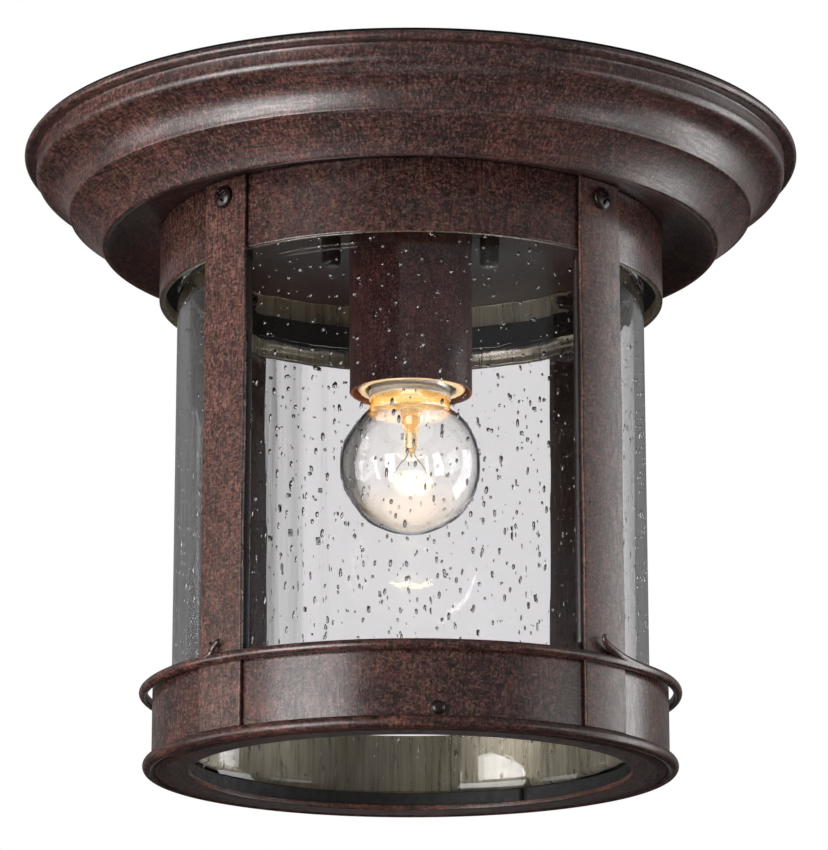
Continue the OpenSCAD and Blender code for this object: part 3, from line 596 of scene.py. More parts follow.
@dataclass(frozen=True)
class PlainFinish:
    """Finish with two tones, a fine relief and an uneven gloss, for the smaller pieces.

    Its fields say what the real one is: bare or plated metal (metallic 1), glaze, plastic, foam or rubber.
    """

    name: str
    tone: str
    shade: str
    metallic: float
    roughness: float
    uneven: float
    grain: Grain = Grain.EVEN
    mark: float = 1.5
    mark_length: float = 12.0
    bump: float = 0.02
    coat: float = 0.0
    specular: float = 0.5

    def build(self) -> bpy.types.Material:
        """Make the material.

        Returns:
            The material.
        """
        material = blank_material(self.name)
        tree, shader, _ = parts_of(material)
        at = axis_coordinates(tree)
        marks = grain_noise(tree, at, self.grain, self.mark_length, self.mark, 4.0)
        share = add_node(tree, "ShaderNodeMapRange", [marks, 0.35, 0.65, 0.0, 1.0], **SMOOTH).outputs[0]
        mix = add_node(tree, "ShaderNodeMix", {0: share, 6: linear(self.shade), 7: linear(self.tone)},
                       data_type="RGBA")
        tree.links.new(mix.outputs[2], shader.inputs["Base Color"])
        gloss = add_node(tree, "ShaderNodeMapRange",
                         [marks, 0.3, 0.7, self.roughness + self.uneven, self.roughness - self.uneven], **SMOOTH)
        tree.links.new(gloss.outputs[0], shader.inputs["Roughness"])
        bump = add_node(tree, "ShaderNodeBump", {"Height": marks, "Distance": self.bump * MM, "Strength": 0.7})
        tree.links.new(bump.outputs["Normal"], shader.inputs["Normal"])
        shader.inputs["Metallic"].default_value = self.metallic
        shader.inputs["Coat Weight"].default_value = self.coat
        shader.inputs["Coat Roughness"].default_value = 0.06
        shader.inputs["Specular IOR Level"].default_value = self.specular
        return material


@dataclass(frozen=True)
class ClearGlass:
    """Soda-lime glass, blown or drawn: clear, with a faint tint and a slightly uneven surface.

    Lamps shine through it: a shadow ray meets a pale transparent shader in place of the glass. Glass beside a lit
    filament can carry a faint warm painted glow between two heights, strongest at the lower one: emission that stands
    for the filament's light caught in the glass.
    """

    name: str
    tint: str
    shadow: str
    ior: float = 1.5
    ripple: float = 0.012
    ripple_length: float = 40.0
    ripple_width: float = 5.0
    # Colour, strength and heights of the painted glow
    glow: str = "#ffb347"
    painted_glow_strength: float = 0.0
    painted_glow_band: tuple[float, float] = (0.0, 0.0)

    def build(self) -> bpy.types.Material:
        """Make the material.

        Returns:
            The material.
        """
        material = blank_material(self.name)
        tree, shader, output = parts_of(material)
        at = axis_coordinates(tree)
        ripple = grain_noise(tree, at, Grain.UPRIGHT, self.ripple_length, self.ripple_width, 2.0)
        bump = add_node(tree, "ShaderNodeBump", {"Height": ripple, "Distance": self.ripple * MM, "Strength": 1.0})
        tree.links.new(bump.outputs["Normal"], shader.inputs["Normal"])
        shader.inputs["Base Color"].default_value = linear(self.tint)
        shader.inputs["Transmission Weight"].default_value = 1.0
        shader.inputs["Roughness"].default_value = 0.0
        shader.inputs["IOR"].default_value = self.ior
        # Painted glow: warm emission between two heights, standing for the filament's light in the glass
        if self.painted_glow_strength > 0:
            low, high = self.painted_glow_band
            above = add_node(tree, "ShaderNodeMapRange",
                             [at["z"], (low - 0.3) * MM, (low + 0.6) * MM, 0.0, self.painted_glow_strength], **SMOOTH)
            below = add_node(tree, "ShaderNodeMapRange", [at["z"], (low + 1) * MM, high * MM, 1.0, 0.35], **SMOOTH)
            band = add_node(tree, "ShaderNodeMath", [above.outputs[0], below.outputs[0]], operation="MULTIPLY")
            tree.links.new(band.outputs[0], shader.inputs["Emission Strength"])
            shader.inputs["Emission Color"].default_value = linear(self.glow)
        clear = add_node(tree, "ShaderNodeBsdfTransparent", {"Color": linear(self.shadow)})
        ray = add_node(tree, "ShaderNodeLightPath")
        mix = add_node(tree, "ShaderNodeMixShader",
                       [ray.outputs["Is Shadow Ray"], shader.outputs[0], clear.outputs[0]])
        tree.links.new(mix.outputs[0], output.inputs["Surface"])
        return material


@dataclass(frozen=True)
class GlowingWire:
    """Lit tungsten: a coiled wire that gives warm light, a little brighter in its turns than between them."""

    name: str
    glow: str
    strength: float

    def build(self) -> bpy.types.Material:
        """Make the material.

        Returns:
            The material.
        """
        material = blank_material(self.name)
        tree, shader, _ = parts_of(material)
        at = axis_coordinates(tree)
        coils = grain_noise(tree, at, Grain.EVEN, 0, 0.4, 2.0)
        light = add_node(tree, "ShaderNodeMapRange", [coils, 0.3, 0.7, self.strength * 0.7, self.strength * 1.2],
                         **SMOOTH)
        tree.links.new(light.outputs[0], shader.inputs["Emission Strength"])
        shader.inputs["Emission Color"].default_value = linear(self.glow)
        shader.inputs["Base Color"].default_value = linear("#6b5a48")
        shader.inputs["Metallic"].default_value = 1.0
        shader.inputs["Roughness"].default_value = 0.5
        return material


FINISHES = {
    # Bronze: the spun canopy is the glossiest, the straps are rubbed the reddest, the sleeve's darker tones are painted
    # shade behind the glass
    "canopy_bronze": BronzeLacquer("canopy_bronze_lacquer", Grain.AROUND, ground="#3a2221", brown="#50302e",
                                   red="#643b35", roughness=0.36, specular=1.0),
    "band_bronze": BronzeLacquer("band_bronze_lacquer", Grain.UPRIGHT, ground="#371f1e", brown="#4c2e2b",
                                 red="#5f3731", bare_inside=True, specks=0.3, roughness=0.25, specular=0.8),
    # The straps' colour is darkened as painted shade below the radius 80.75, next to the band
    "strap_bronze": BronzeLacquer("strap_bronze_lacquer", Grain.UPRIGHT, ground="#4f312c", brown="#603f39",
                                  red="#6d453d", specks=0.3, painted_shade_radius=80.75, roughness=0.3, specular=0.6, bump=0.02),
    "base_bronze": BronzeLacquer("base_bronze_lacquer", Grain.AROUND, ground="#372120", brown="#4c2f2c", specks=0.2),
    "wire_bronze": BronzeLacquer("wire_bronze_lacquer", Grain.AROUND, specks=0.2, roughness=0.28, specular=0.9),
    # The sleeve's darker tones are painted shade
    "sleeve_bronze": BronzeLacquer("sleeve_bronze_painted_shade", Grain.UPRIGHT, ground="#331a19", brown="#472726",
                                   red="#57302c", specks=0.2, specular=0.2),
    # Blackened steel: nearly black, with one small highlight on each head
    "dark_hardware": PlainFinish("dark_bronze_screw_lacquer", "#2b1c19", "#150d0c", 0.0, 0.34, 0.08),
    # Zinc plating: cool pale metal in cloudy patches, and the green paint that marks the ground screw
    "zinc_steel": PlainFinish("zinc_plated_steel", "#bdbcb4", "#96958d", 1.0, 0.38, 0.1, mark=4.0),
    "green_screw": PlainFinish("green_lacquered_screw", "#1f7a3c", "#125428", 0.0, 0.4, 0.08),
    # Foam and rubber: black and dull, the foam with open pores, the rubber with a faint moulded sheen
    "foam": PlainFinish("closed_cell_foam", "#161618", "#0a0a0b", 0.0, 0.92, 0.04, mark=0.8, bump=0.25, specular=0.2),
    "black_rubber": PlainFinish("moulded_black_rubber", "#121213", "#09090a", 0.0, 0.62, 0.1, mark=2.5, bump=0.05),
    # Lampholder: cream glaze with a wet shine, and soft golden sheet
    "porcelain": PlainFinish("glazed_socket_porcelain", "#efe6d2", "#e2d6bd", 0.0, 0.16, 0.05, mark=6.0, coat=0.3),
    "socket_brass": PlainFinish("rolled_socket_brass", "#d8a95c", "#b98a3e", 1.0, 0.3, 0.1, mark=3.0),
    # Wiring: smooth drawn plastic with a dull shine, and a waxy moulded connector
    "black_insulation": PlainFinish("black_wire_insulation", "#1d1d1f", "#111113", 0.0, 0.45, 0.08),
    "white_insulation": PlainFinish("white_wire_insulation", "#e9e7e0", "#d7d4ca", 0.0, 0.45, 0.08),
    "green_insulation": PlainFinish("green_wire_insulation", "#2c8047", "#1c6434", 0.0, 0.45, 0.08),
    "connector_orange": PlainFinish("moulded_orange_nylon", "#d2641c", "#b44f12", 0.0, 0.42, 0.08),
    # Lamp cap: bright thin sheet with fine rings, glossy black glass, and a grey lumpy solder drop
    "lamp_aluminium": PlainFinish("rolled_lamp_aluminium", "#dddcd8", "#c2c1bb", 0.7, 0.35, 0.08, grain=Grain.AROUND,
                                  mark=0.5),
    "lamp_insulator": PlainFinish("black_glass_insulator", "#101014", "#050507", 0.0, 0.1, 0.04, coat=0.5),
    "solder": PlainFinish("dull_tin_solder", "#a9acb0", "#85888c", 1.0, 0.45, 0.12, mark=1.0, bump=0.06),
    # Glass: the cylinder with long upright ripples, the lamp's parts smooth, with a painted warm glow near the filament
    "seeded_glass": ClearGlass("seeded_soda_lime_glass", "#f2f1f2", "#e2e2e3", ripple=0.012, ripple_length=60.0,
                               ripple_width=3.6),
    "lamp_glass": ClearGlass("blown_lamp_glass", "#ffffff", "#f6f4ef", ripple=0.004, ripple_width=9.0,
                             glow="#ffb036", painted_glow_strength=0.35, painted_glow_band=(-84.4, -80.0)),
    "stem_glass": ClearGlass("pressed_stem_glass", "#fff3dc", "#f4ecdc", ripple=0.01, ripple_width=3.0,
                             glow="#ffcf6a", painted_glow_strength=0.22, painted_glow_band=(-96.0, -80.0)),
    "filament": GlowingWire("lit_tungsten_coil", "#ffe3a4", 13.0),
}


class Palette:
    """Materials made on demand, one for each finish."""

    def __init__(self) -> None:
        """Start with no material made."""
        self.made: dict[str, bpy.types.Material] = {}

    def __getitem__(self, key: str) -> bpy.types.Material:
        """Material of a finish in FINISHES."""
        if key not in self.made:
            self.made[key] = FINISHES[key].build()
        return self.made[key]


PALETTE = Palette()


# ---------------------------------------------------------------- pieces


def add_piece(name: str, shells: Sequence[Shell], finish: str, body: str = "fixture",
              replaces: Sequence[str] = ()) -> bpy.types.Object:
    """Write shells into one smoothly shaded mesh, dress it and let it ride on a body.

    Args:
        name: Name of the piece.
        shells: Closed shells in millimetres.
        finish: Key in FINISHES.
        body: CAD body that carries the piece.
        replaces: CAD nodes that it stands for.

    Returns:
        The piece.
    """
    points = np.concatenate([s.points for s in shells]) * MM
    starts = np.cumsum([0] + [len(s.points) for s in shells[:-1]])
    parts = [part + start for s, start in zip(shells, starts) for part in s.faces]
    corners = np.concatenate([part.ravel() for part in parts])
    sizes = np.concatenate([np.full(len(part), part.shape[1]) for part in parts])
    mesh = bpy.data.meshes.new(name)
    mesh.vertices.add(len(points))
    mesh.vertices.foreach_set("co", points.astype(np.float32).ravel())
    mesh.loops.add(len(corners))
    mesh.loops.foreach_set("vertex_index", corners.astype(np.int32))
    mesh.polygons.add(len(sizes))
    mesh.polygons.foreach_set("loop_start", (np.cumsum(sizes) - sizes).astype(np.int32))
    mesh.polygons.foreach_set("use_smooth", np.full(len(sizes), True))
    mesh.update(calc_edges=True)
    mesh.validate()
    mesh.materials.append(PALETTE[finish])
    piece = bpy.data.objects.new(name, mesh)
    bpy.context.scene.collection.objects.link(piece)
    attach(piece, body)
    if replaces:
        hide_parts(*replaces)
    LOG.info("%s: %d triangles", name, int((sizes - 2).sum()))
    return piece


def dress_node(name: str, finish: str) -> None:
    """Give a CAD node that stays its finish.

    Args:
        name: The node.
        finish: Key in FINISHES.
    """
    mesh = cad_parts[name].data
    mesh.materials.clear()
    mesh.materials.append(PALETTE[finish])


@dataclass
class Canopy:
    """Spun canopy with its rolled rim, its steps and the foam ring above it."""

    rim_r: float = 124.0
    bead_r: float = 1.35
    gasket_t: float = 0.8
    wall: float = 0.9
    upper: tuple[float, float] = (120.1, -8.8)
    middle: tuple[float, float] = (109.5, -20.7)
    lip: tuple[float, float] = (98.7, -30.9)
    edge: float = 0.9
    ridge: float = 2.4
    sag: float = 2.1
    seat: tuple[float, float] = (84.2, -25.4)
    crease: tuple[tuple[float, float], ...] = ((121.1, -3.3), (120.4, -3.3), (120.1, -3.4), (119.98, -3.65),
                                               (119.93, -4.4), (119.93, -5.4), (119.99, -6.3))
    segments: int = 288

    def outline(self) -> Array:
        """Draw the outer line: rim bead, crease, ridge, upper hollow, middle edge, lower hollow, lip and seat.

        Returns:
            Its points from the top of the bead to the axis.
        """
        bead = (self.rim_r - self.bead_r, -self.gasket_t - self.bead_r)
        upper, middle, lip = (np.array(p) for p in (self.upper, self.middle, self.lip))
        e, ridge = self.edge, self.ridge
        return np.vstack([
            arc(bead, self.bead_r, 90, -108, 22),
            self.crease,
            arc(tuple(upper + [-ridge, 1.2]), ridge, 14, -68, 14),
            bowed(upper + [-ridge + 0.6, -1.2], middle + [0, e + 0.4], -self.sag, 22),
            arc(tuple(middle + [-e, e]), e, -10, -75, 8),
            bowed(middle + [-e - 0.6, -0.4], lip + [-0.04, 0.22], -self.sag * 0.3, 18),
            arc(tuple(lip + [-0.45, 0.45]), 0.45, -42, -90, 6),
            bowed(lip + [-1.6, 0], np.array(self.seat), -0.6, 8),
            [[r, self.seat[1]] for r in (60.0, 30.0, 8.0, 0.0)],
        ])

    def build(self) -> None:
        """Make the canopy and its gasket; the sheet's unevenness fades out at the seat and at the rim."""
        outer = self.outline()
        inner = offset(outer, -self.wall)[::-1]
        inner[0, 0] = 0.0
        uneven = Waves(11, (2, 9), 0.01, 10, 0.09)
        rim = self.rim_r - 1
        ring = lathe(np.vstack([outer[::-1], inner[::-1]]), self.segments,
                     lambda r, z, a: uneven(a, z) * np.clip((r - 84) / 20, 0, 1) * np.clip((rim - r) / 3, 0, 1))
        add_piece("canopy_pan", [ring], "canopy_bronze", replaces=["canopy"])
        foam = rounded([(113.8, 0, 0.25), (122.8, 0, 0.25), (122.8, -0.8, 0.25), (113.8, -0.8, 0.25)])
        add_piece("foam_ring", [lathe(foam, 240)], "foam", replaces=["rim_gasket"])


@dataclass
class Cage:
    """Two bands, four straps with their screws, the wire hoop and the base ring."""

    band_r: float = 80.3
    wall: float = 1.0
    roof: tuple[float, float] = (-25.4, -26.4)
    top_band_end: float = -48.8
    lower_band: tuple[float, float] = (-173.6, -198.4)
    fold_t: float = 2.6
    strap_t: float = 1.5
    strap_w: float = 18.0
    strap_top: float = -25.7
    strap_bottom: float = -196.45
    screw_z: float = -31.3
    hoop_r: float = 82.95
    hoop_z: float = -175.6
    hoop_wire: float = 1.55
    rivet_z: float = -194.2
    rivet_angles: tuple[float, ...] = (275.0, 35.0, 155.0)
    segments: int = 240

    def bands(self) -> None:
        """Make both bands; the top one has the cage's roof and a hem folded inside its lower edge."""
        outside, inside, hem = self.band_r, self.band_r - self.wall, self.band_r - self.wall - 0.9
        (over, under), end, fold = self.roof, self.top_band_end, self.top_band_end + 4.0
        top = rounded([(0, over, 0), (40, over, 0), (outside, over, 0.9), (outside, end, 0.42), (hem, end, 0.42),
                       (hem, fold, 0.3), (inside, fold, 0.1), (inside, under, 0.6), (40, under, 0), (0, under, 0)],
                      closed=False)
        uneven = Waves(21, (2, 7), 0.004, 8, 0.05)
        add_piece("cage_top_band", [lathe(top, self.segments, lambda r, z, a: uneven(a, z) * (r > 78))],
                  "band_bronze", replaces=["top_band"])
        start, end = self.lower_band
        middle = (start + end) / 2
        lower = rounded([(inside, start, 0.4), (outside, start, 0.4), (outside, middle, 0), (outside, end, 0.15),
                         (inside, end, 0.15), (inside, middle, 0)])
        add_piece("cage_lower_band", [lathe(lower, self.segments)], "band_bronze",
                  replaces=["lower_band"])

    def strap(self, angle: float, name: str, seed: int) -> None:
        """Make one strap: a rounded bar section, rolled to the band's radius and ruled along the axis.

        A section point (t, n) lies at the angle t / radius beside the strap's middle and n outside the band. Between
        the bands the strap's sheet is folded in behind it, which shows as a dark band along its inner edge; the strap's
        finish darkens the fold further as painted shade.

        Args:
            angle: Where the strap's middle stands, in degrees.
            name: CAD node of the strap.
            seed: Seed of its edges' unevenness.
        """
        half, outside = self.strap_w / 2, self.band_r + self.strap_t
        section = rounded([(-half, 0, 0.3), (0, 0, 0), (half, 0, 0.3), (half, self.strap_t, 0.55),
                           (0, self.strap_t, 0), (-half, self.strap_t, 0.55)])
        z = np.concatenate([[self.strap_top], np.linspace(self.strap_top - 0.4, self.strap_bottom + 0.4, 60),
                            [self.strap_bottom]])
        uneven = Waves(seed, (1, 4), 0.02, 8, 0.10)
        left, right = uneven(np.array(0.0), z), uneven(np.array(1.7), z)
        t = section[:, 0][None, :]
        t = t + np.where(t > 0, right[:, None], left[:, None]) * np.abs(t) / half
        a = math.radians(angle) + t / outside
        r = self.band_r + section[:, 1][None, :] + 0 * t
        sections = np.stack([r * np.cos(a), r * np.sin(a), z[:, None] + 0 * a], axis=-1)
        behind = rounded([(-half, -self.fold_t, 0.3), (half, -self.fold_t, 0.3), (half, -0.02, 0), (-half, -0.02, 0)])
        z = np.linspace(self.top_band_end - 0.6, self.lower_band[0] + 0.6, 40)[:, None]
        a = math.radians(angle) + behind[:, 0][None, :] / outside + 0 * z
        r = self.band_r + behind[:, 1][None, :]
        fold = np.stack([r * np.cos(a), r * np.sin(a), z + 0 * a], axis=-1)
        add_piece(f"cage_{name}", [ruled(sections), ruled(fold)], "strap_bronze", replaces=[name])

    def screws(self) -> None:
        """Make the strap screws: a pan head with a cross recess, and the shank.

        The head's top is the ellipse z = 0.55 + 1.35 sqrt(1 - (r / 3.5)^2); the cross lowers it where one of the two
        bars |u| < 0.4, |v| < 2.1 lies.
        """
        seat = self.band_r + self.strap_t + 0.05
        dome = np.sin(np.linspace(0, 1, 34) * TAU / 4)
        top = np.stack([3.5 * dome, 0.55 + 1.35 * np.sqrt(np.clip(1 - dome ** 2, 0, 1))], axis=1)[::-1]
        line = np.vstack([[(0, -0.02), (3.4, -0.02), (3.55, 0.06)], top])
        shank = rounded([(0, -9.0, 0), (1.2, -9.0, 0.2), (1.5, -8.4, 0.2), (1.5, 0, 0), (0, 0, 0)], closed=False)
        shells = []
        for a, turn in zip(STRAP_ANGLES, (0.3, 1.1, 0.55, 1.3)):
            head = lathe(line, 96)
            x, y, z = head.points.T
            u, v = x * math.cos(turn) + y * math.sin(turn), y * math.cos(turn) - x * math.sin(turn)
            bars = [np.clip((0.5 - abs(p)) / 0.18, 0, 1) * np.clip((2.2 - abs(q)) / 0.4, 0, 1) for p, q in
                    ((u, v), (v, u))]
            head.points[:, 2] -= np.where(z > 0.5, 0.85 * np.maximum(*bars), 0)
            for shell in (head, lathe(shank, 32)):
                shells.append(turned(shifted(laid(shell), seat, 0, self.screw_z), a))
        add_piece("cage_strap_screws", shells, "dark_hardware", replaces=["strap_screws"])

    def hoop(self) -> None:
        """Make the wire hoop; where it crosses a strap its inner side is flattened on it."""
        a = np.linspace(0, TAU, 360, endpoint=False)
        bend = Waves(31, (2, 9), 0.0, 8, 0.12)
        lift = bend(a, 0 * a)
        path = np.stack([self.hoop_r * np.cos(a), self.hoop_r * np.sin(a), self.hoop_z + lift], axis=1)
        ring = wire(path, np.array(self.hoop_wire), 20, closed=True)
        r = np.hypot(ring.points[:, 0], ring.points[:, 1])
        least = self.band_r + self.strap_t + 0.05
        keep = np.maximum(r, least) / r
        ring.points[:, :2] *= keep[:, None]
        add_piece("cage_hoop", [ring], "wire_bronze", replaces=["hoop"])

    def curls(self) -> None:
        """Make the hoop's two upturned ends: a small fork on the left joint and a tapering hook on the right one.

        Each is made of wires along points (angle in degrees, radius, z), with their radii at shares of the way.
        """
        wires = (
            ([(220.6, 83.1, -175.4), (222.4, 83.3, -174.9), (223.8, 83.45, -173.9), (224.5, 83.5, -172.5)],
             [0, 0.8, 1], [1.35, 0.95, 0.5], 20),
            ([(224.3, 83.5, -173.0), (224.3, 83.5, -172.0), (223.9, 83.5, -171.0), (223.2, 83.5, -170.3)],
             [0, 0.8, 1], [0.8, 0.6, 0.25], 20),
            ([(224.3, 83.5, -173.0), (224.9, 83.5, -171.9), (225.8, 83.5, -170.9), (226.2, 83.4, -169.8)],
             [0, 0.8, 1], [0.8, 0.7, 0.3], 20),
            ([(326.0, 82.95, -175.4), (322.0, 83.1, -175.0), (318.6, 83.3, -174.2), (316.2, 83.5, -173.2),
              (314.3, 83.6, -171.8), (313.1, 83.6, -170.3), (312.8, 83.6, -169.2), (313.2, 83.5, -168.6),
              (313.8, 83.4, -168.7)],
             [0, 0.35, 0.5, 0.7, 0.85, 1], [1.5, 1.4, 1.15, 0.75, 0.5, 0.3], 24),
        )
        shells = []
        for points, shares, radii, sides in wires:
            a, r, z = spline(points, 6).T
            a = np.radians(a)
            size = np.interp(np.linspace(0, 1, len(a)), shares, radii)
            shells.append(wire(np.stack([r * np.cos(a), r * np.sin(a), z], axis=1), size, sides))
        add_piece("cage_hoop_curls", shells, "wire_bronze", replaces=["hoop_curls"])

    def base(self) -> None:
        """Make the base ring with its bead and tabs, and the rivets in the tabs."""
        bead = (81.15, -198.45)
        line = np.vstack([
            rounded([(68.6, -200.1, 0.45), (68.6, -198.4, 0.3), (76, -198.4, 0), (80.35, -198.4, 0.1)],
                    closed=False, steps=4)[1:],
            [[80.35, -196.8]],
            arc(bead, 1.95, 105, -148, 30),
            [[79.2, -199.75], [78.9, -200.1], [76.0, -200.1]],
            rounded([(74, -200.1, 0), (68.6, -200.1, 0.45), (68.6, -198.4, 0.3)], closed=False, steps=4)[1:-2],
        ])
        shells = [lathe(line, 288)]
        half, step = 2.4, 80.35
        tab = rounded([(-half, 0, 0.1), (half, 0, 0.1), (half, 0.6, 0.3), (-half, 0.6, 0.3)])
        z = np.linspace(-197.7, -192.6, 12)
        width = np.interp(z, [-197.7, -196.6, -194.6, -193.2, -192.6], [1.5, 1.0, 0.72, 0.6, 0.3])
        for angle in self.rivet_angles:
            t, n = tab[:, 0][None, :] * width[:, None], tab[:, 1][None, :] + 0 * z[:, None]
            a = math.radians(angle) + t / step
            shells.append(ruled(np.stack([(step + n) * np.cos(a), (step + n) * np.sin(a), z[:, None] + 0 * a], -1)))
        add_piece("cage_base_ring", shells, "base_bronze", replaces=["base_ring"])
        seat = step + 0.6 + 0.05
        head = rounded([(0, -2.0, 0), (1.0, -2.0, 0.1), (1.0, 0, 0.1), (2.1, 0, 0.1), (2.1, 0.5, 0.3),
                        (1.3, 1.4, 0.7), (0, 1.5, 0)], closed=False, steps=5)
        add_piece("cage_rivets", [turned(shifted(laid(lathe(head, 40)), seat, 0, self.rivet_z), a)
                                  for a in self.rivet_angles], "dark_hardware",
                  replaces=["base_rivets"])

    def build(self) -> None:
        """Make the cage."""
        self.bands()
        for angle, name, seed in zip(STRAP_ANGLES, ("strap_back_right", "strap_back_left", "strap_front_left",
                                                    "strap_front_right"), (41, 42, 43, 44)):
            self.strap(angle, name, seed)
        self.screws()
        self.hoop()
        self.curls()
        self.base()


@dataclass
class SeededGlass:
    """Glass cylinder with its seeds, the black strip that it stands on and a black strip around its top, a painted
    shadow.
    """

    outer: float = 74.4
    inner: float = 71.4
    top: float = -43.0
    bottom: float = -194.0
    large: int = 1350
    small: int = 1200

    def seeds(self, count: int, width: tuple[float, float], sides: int, rings: int, seed: int) -> Shell:
        """Bubbles drawn out along the axis, all in one shell whose faces point into the bubbles.

        They are spread evenly: the n-th one takes the fractions of 0.755 n and 0.570 n, a little shaken, as its share
        of the turn and of the height. A seed's ring at the height h L / 2 (h from -1 to 1) has the radius
        w (1 - |h|^2.6)^(1/2) / 2, so its ends are round, and its middle leans a little. Every seed stays inside the
        wall. Towards the top they are wider and rounder, towards the bottom slimmer and longer.

        Args:
            count: Seeds to draw.
            width: Least and greatest width in millimetres.
            sides: Points in a ring.
            rings: Rings of a seed.
            seed: Seed of the draw.

        Returns:
            The shell.
        """
        draw = np.random.default_rng(seed)
        mean_r, longest, margin, shake = 73.0, 3.6, 0.35, 0.006
        steps = np.arange(count)[:, None] * np.array([0.75487767, 0.56984029])
        even = (steps + draw.normal(0, shake, (count, 2))) % 1
        angle = TAU * even[:, 0]
        z = self.top - 2 - (self.top - self.bottom - 5) * even[:, 1] ** 1.1
        low = (self.top - z) / (self.top - self.bottom)
        w = (width[0] + (width[1] - width[0]) * draw.beta(1.5, 2.2, count)) * (1.1 - 0.35 * low)
        length = w * (1.05 + draw.uniform(0.1, 1, count) * (0.2 + 2.0 * np.clip((low - 0.2) * 4, 0, 1)))
        length = np.minimum(length, longest)
        lean = np.radians(draw.normal(5, 4, count))
        middle = draw.uniform(self.inner + margin + w / 2, self.outer - margin - w / 2)
        h = -np.cos(np.linspace(0, math.pi, rings + 2))
        ring_r = np.sqrt(np.clip(1 - np.abs(h) ** 2.6, 0, 1))
        b = np.linspace(0, TAU, sides, endpoint=False)
        tall = h[None, :, None] / 2 * length[:, None, None] + 0 * b[None, None, :]
        out = ring_r[None, :, None] * w[:, None, None] / 2
        side = out * np.cos(b)[None, None, :] + tall * np.tan(lean)[:, None, None]
        deep = out * np.sin(b)[None, None, :]
        r = middle[:, None, None] + deep
        a = angle[:, None, None] + side / mean_r
        grid = np.stack([r * np.cos(a), r * np.sin(a), z[:, None, None] + tall], axis=-1)
        body = grid[:, 1:-1].reshape(count, -1, 3)
        poles = grid[:, [0, -1], 0]
        points = np.concatenate([body, poles], axis=1)
        size = points.shape[1]
        quads = quad_grid(rings, sides, False, True)
        k = np.arange(sides)
        last = (rings - 1) * sides
        fans = np.concatenate([np.stack([k * 0 + size - 2, (k + 1) % sides, k], axis=1),
                               np.stack([k * 0 + size - 1, last + k, last + (k + 1) % sides], axis=1)])
        starts = (np.arange(count) * size)[:, None, None]
        faces = [(quads[None] + starts).reshape(-1, 4), (fans[None] + starts).reshape(-1, 3)]
        return Shell(points.reshape(-1, 3), faces).facing(False)

    def build(self) -> None:
        """Make the cylinder and both strips."""
        z = np.concatenate([[self.bottom, self.bottom + 0.5], np.linspace(self.bottom + 4, self.top - 4, 36),
                            [self.top - 0.5, self.top]])
        outside = np.stack([np.full(len(z), self.outer), z], axis=1)
        inside = np.stack([np.full(len(z), self.inner), z], axis=1)[::-1]
        outside[[0, -1], 0] -= 0.5
        inside[[0, -1], 0] += 0.5
        line = np.vstack([outside, inside])
        skin = Waves(51, (14, 58), 0.004, 22, 0.012)
        back = Waves(52, (10, 40), 0.006, 18, 0.010)
        edge = Waves(53, (5, 40), 0.0, 16, 0.35)

        def wavy(r: Array, z: Array, a: Array) -> Array:
            """Give each side of the wall its own long upright ripples.

            Args:
                r: Radius of each point.
                z: Its height on the axis.
                a: Its angle.

            Returns:
                Change of the radius.
            """
            return np.where(r > 73, np.minimum(skin(a, z), 0.1), back(a, z))

        wall = lathe(line, 288, wavy)
        rim = wall.points[:, 2] > self.top - 0.6
        angle = np.arctan2(wall.points[rim, 1], wall.points[rim, 0])
        wall.points[rim, 2] += edge(angle, 0 * angle) * 0.5 - 0.4
        shells = [wall, self.seeds(self.large, (0.7, 1.35), 8, 5, 61), self.seeds(self.small, (0.35, 0.65), 6, 3, 62)]
        add_piece("seeded_glass_cylinder", shells, "seeded_glass", replaces=["glass_cylinder"])
        section = rounded([(69.8, -194.0, 0.4), (74.5, -194.0, 0.1), (74.5, -192.5, 0.3), (79.25, -192.5, 0.3),
                           (79.25, -198.4, 0.3), (69.8, -198.4, 0.4)])
        add_piece("glass_strip", [self.split_ring(section, 58, math.degrees(0.5 / 74))], "black_rubber",
                  replaces=["strip_gasket"])
        # Painted shadow: a black strip inside the top band, from z -35.15 to -44.75, stands for the shadow that the
        # glass's top edge casts on the band
        section = rounded([(74.5, -35.15, 0.5), (79.25, -35.15, 0.5), (79.25, -44.75, 0.5), (74.5, -44.75, 0.5)])
        add_piece("upper_shadow_strip", [self.split_ring(section, 90, math.degrees(0.7 / 76.9))], "foam",
                  replaces=["upper_strip"])

    def split_ring(self, section: Array, split: float, gap: float) -> Shell:
        """Bend a strip of one section around the axis, with an open split.

        Args:
            section: Points (radius, z) of the strip's section.
            split: Where the split stands, in degrees.
            gap: Half of the split, in degrees.

        Returns:
            The closed shell.
        """
        a = np.radians(np.linspace(split + gap, split + 360 - gap, 241))[:, None]
        return ruled(np.stack([section[:, 0] * np.cos(a), section[:, 0] * np.sin(a), section[:, 1] + 0 * a], axis=-1))


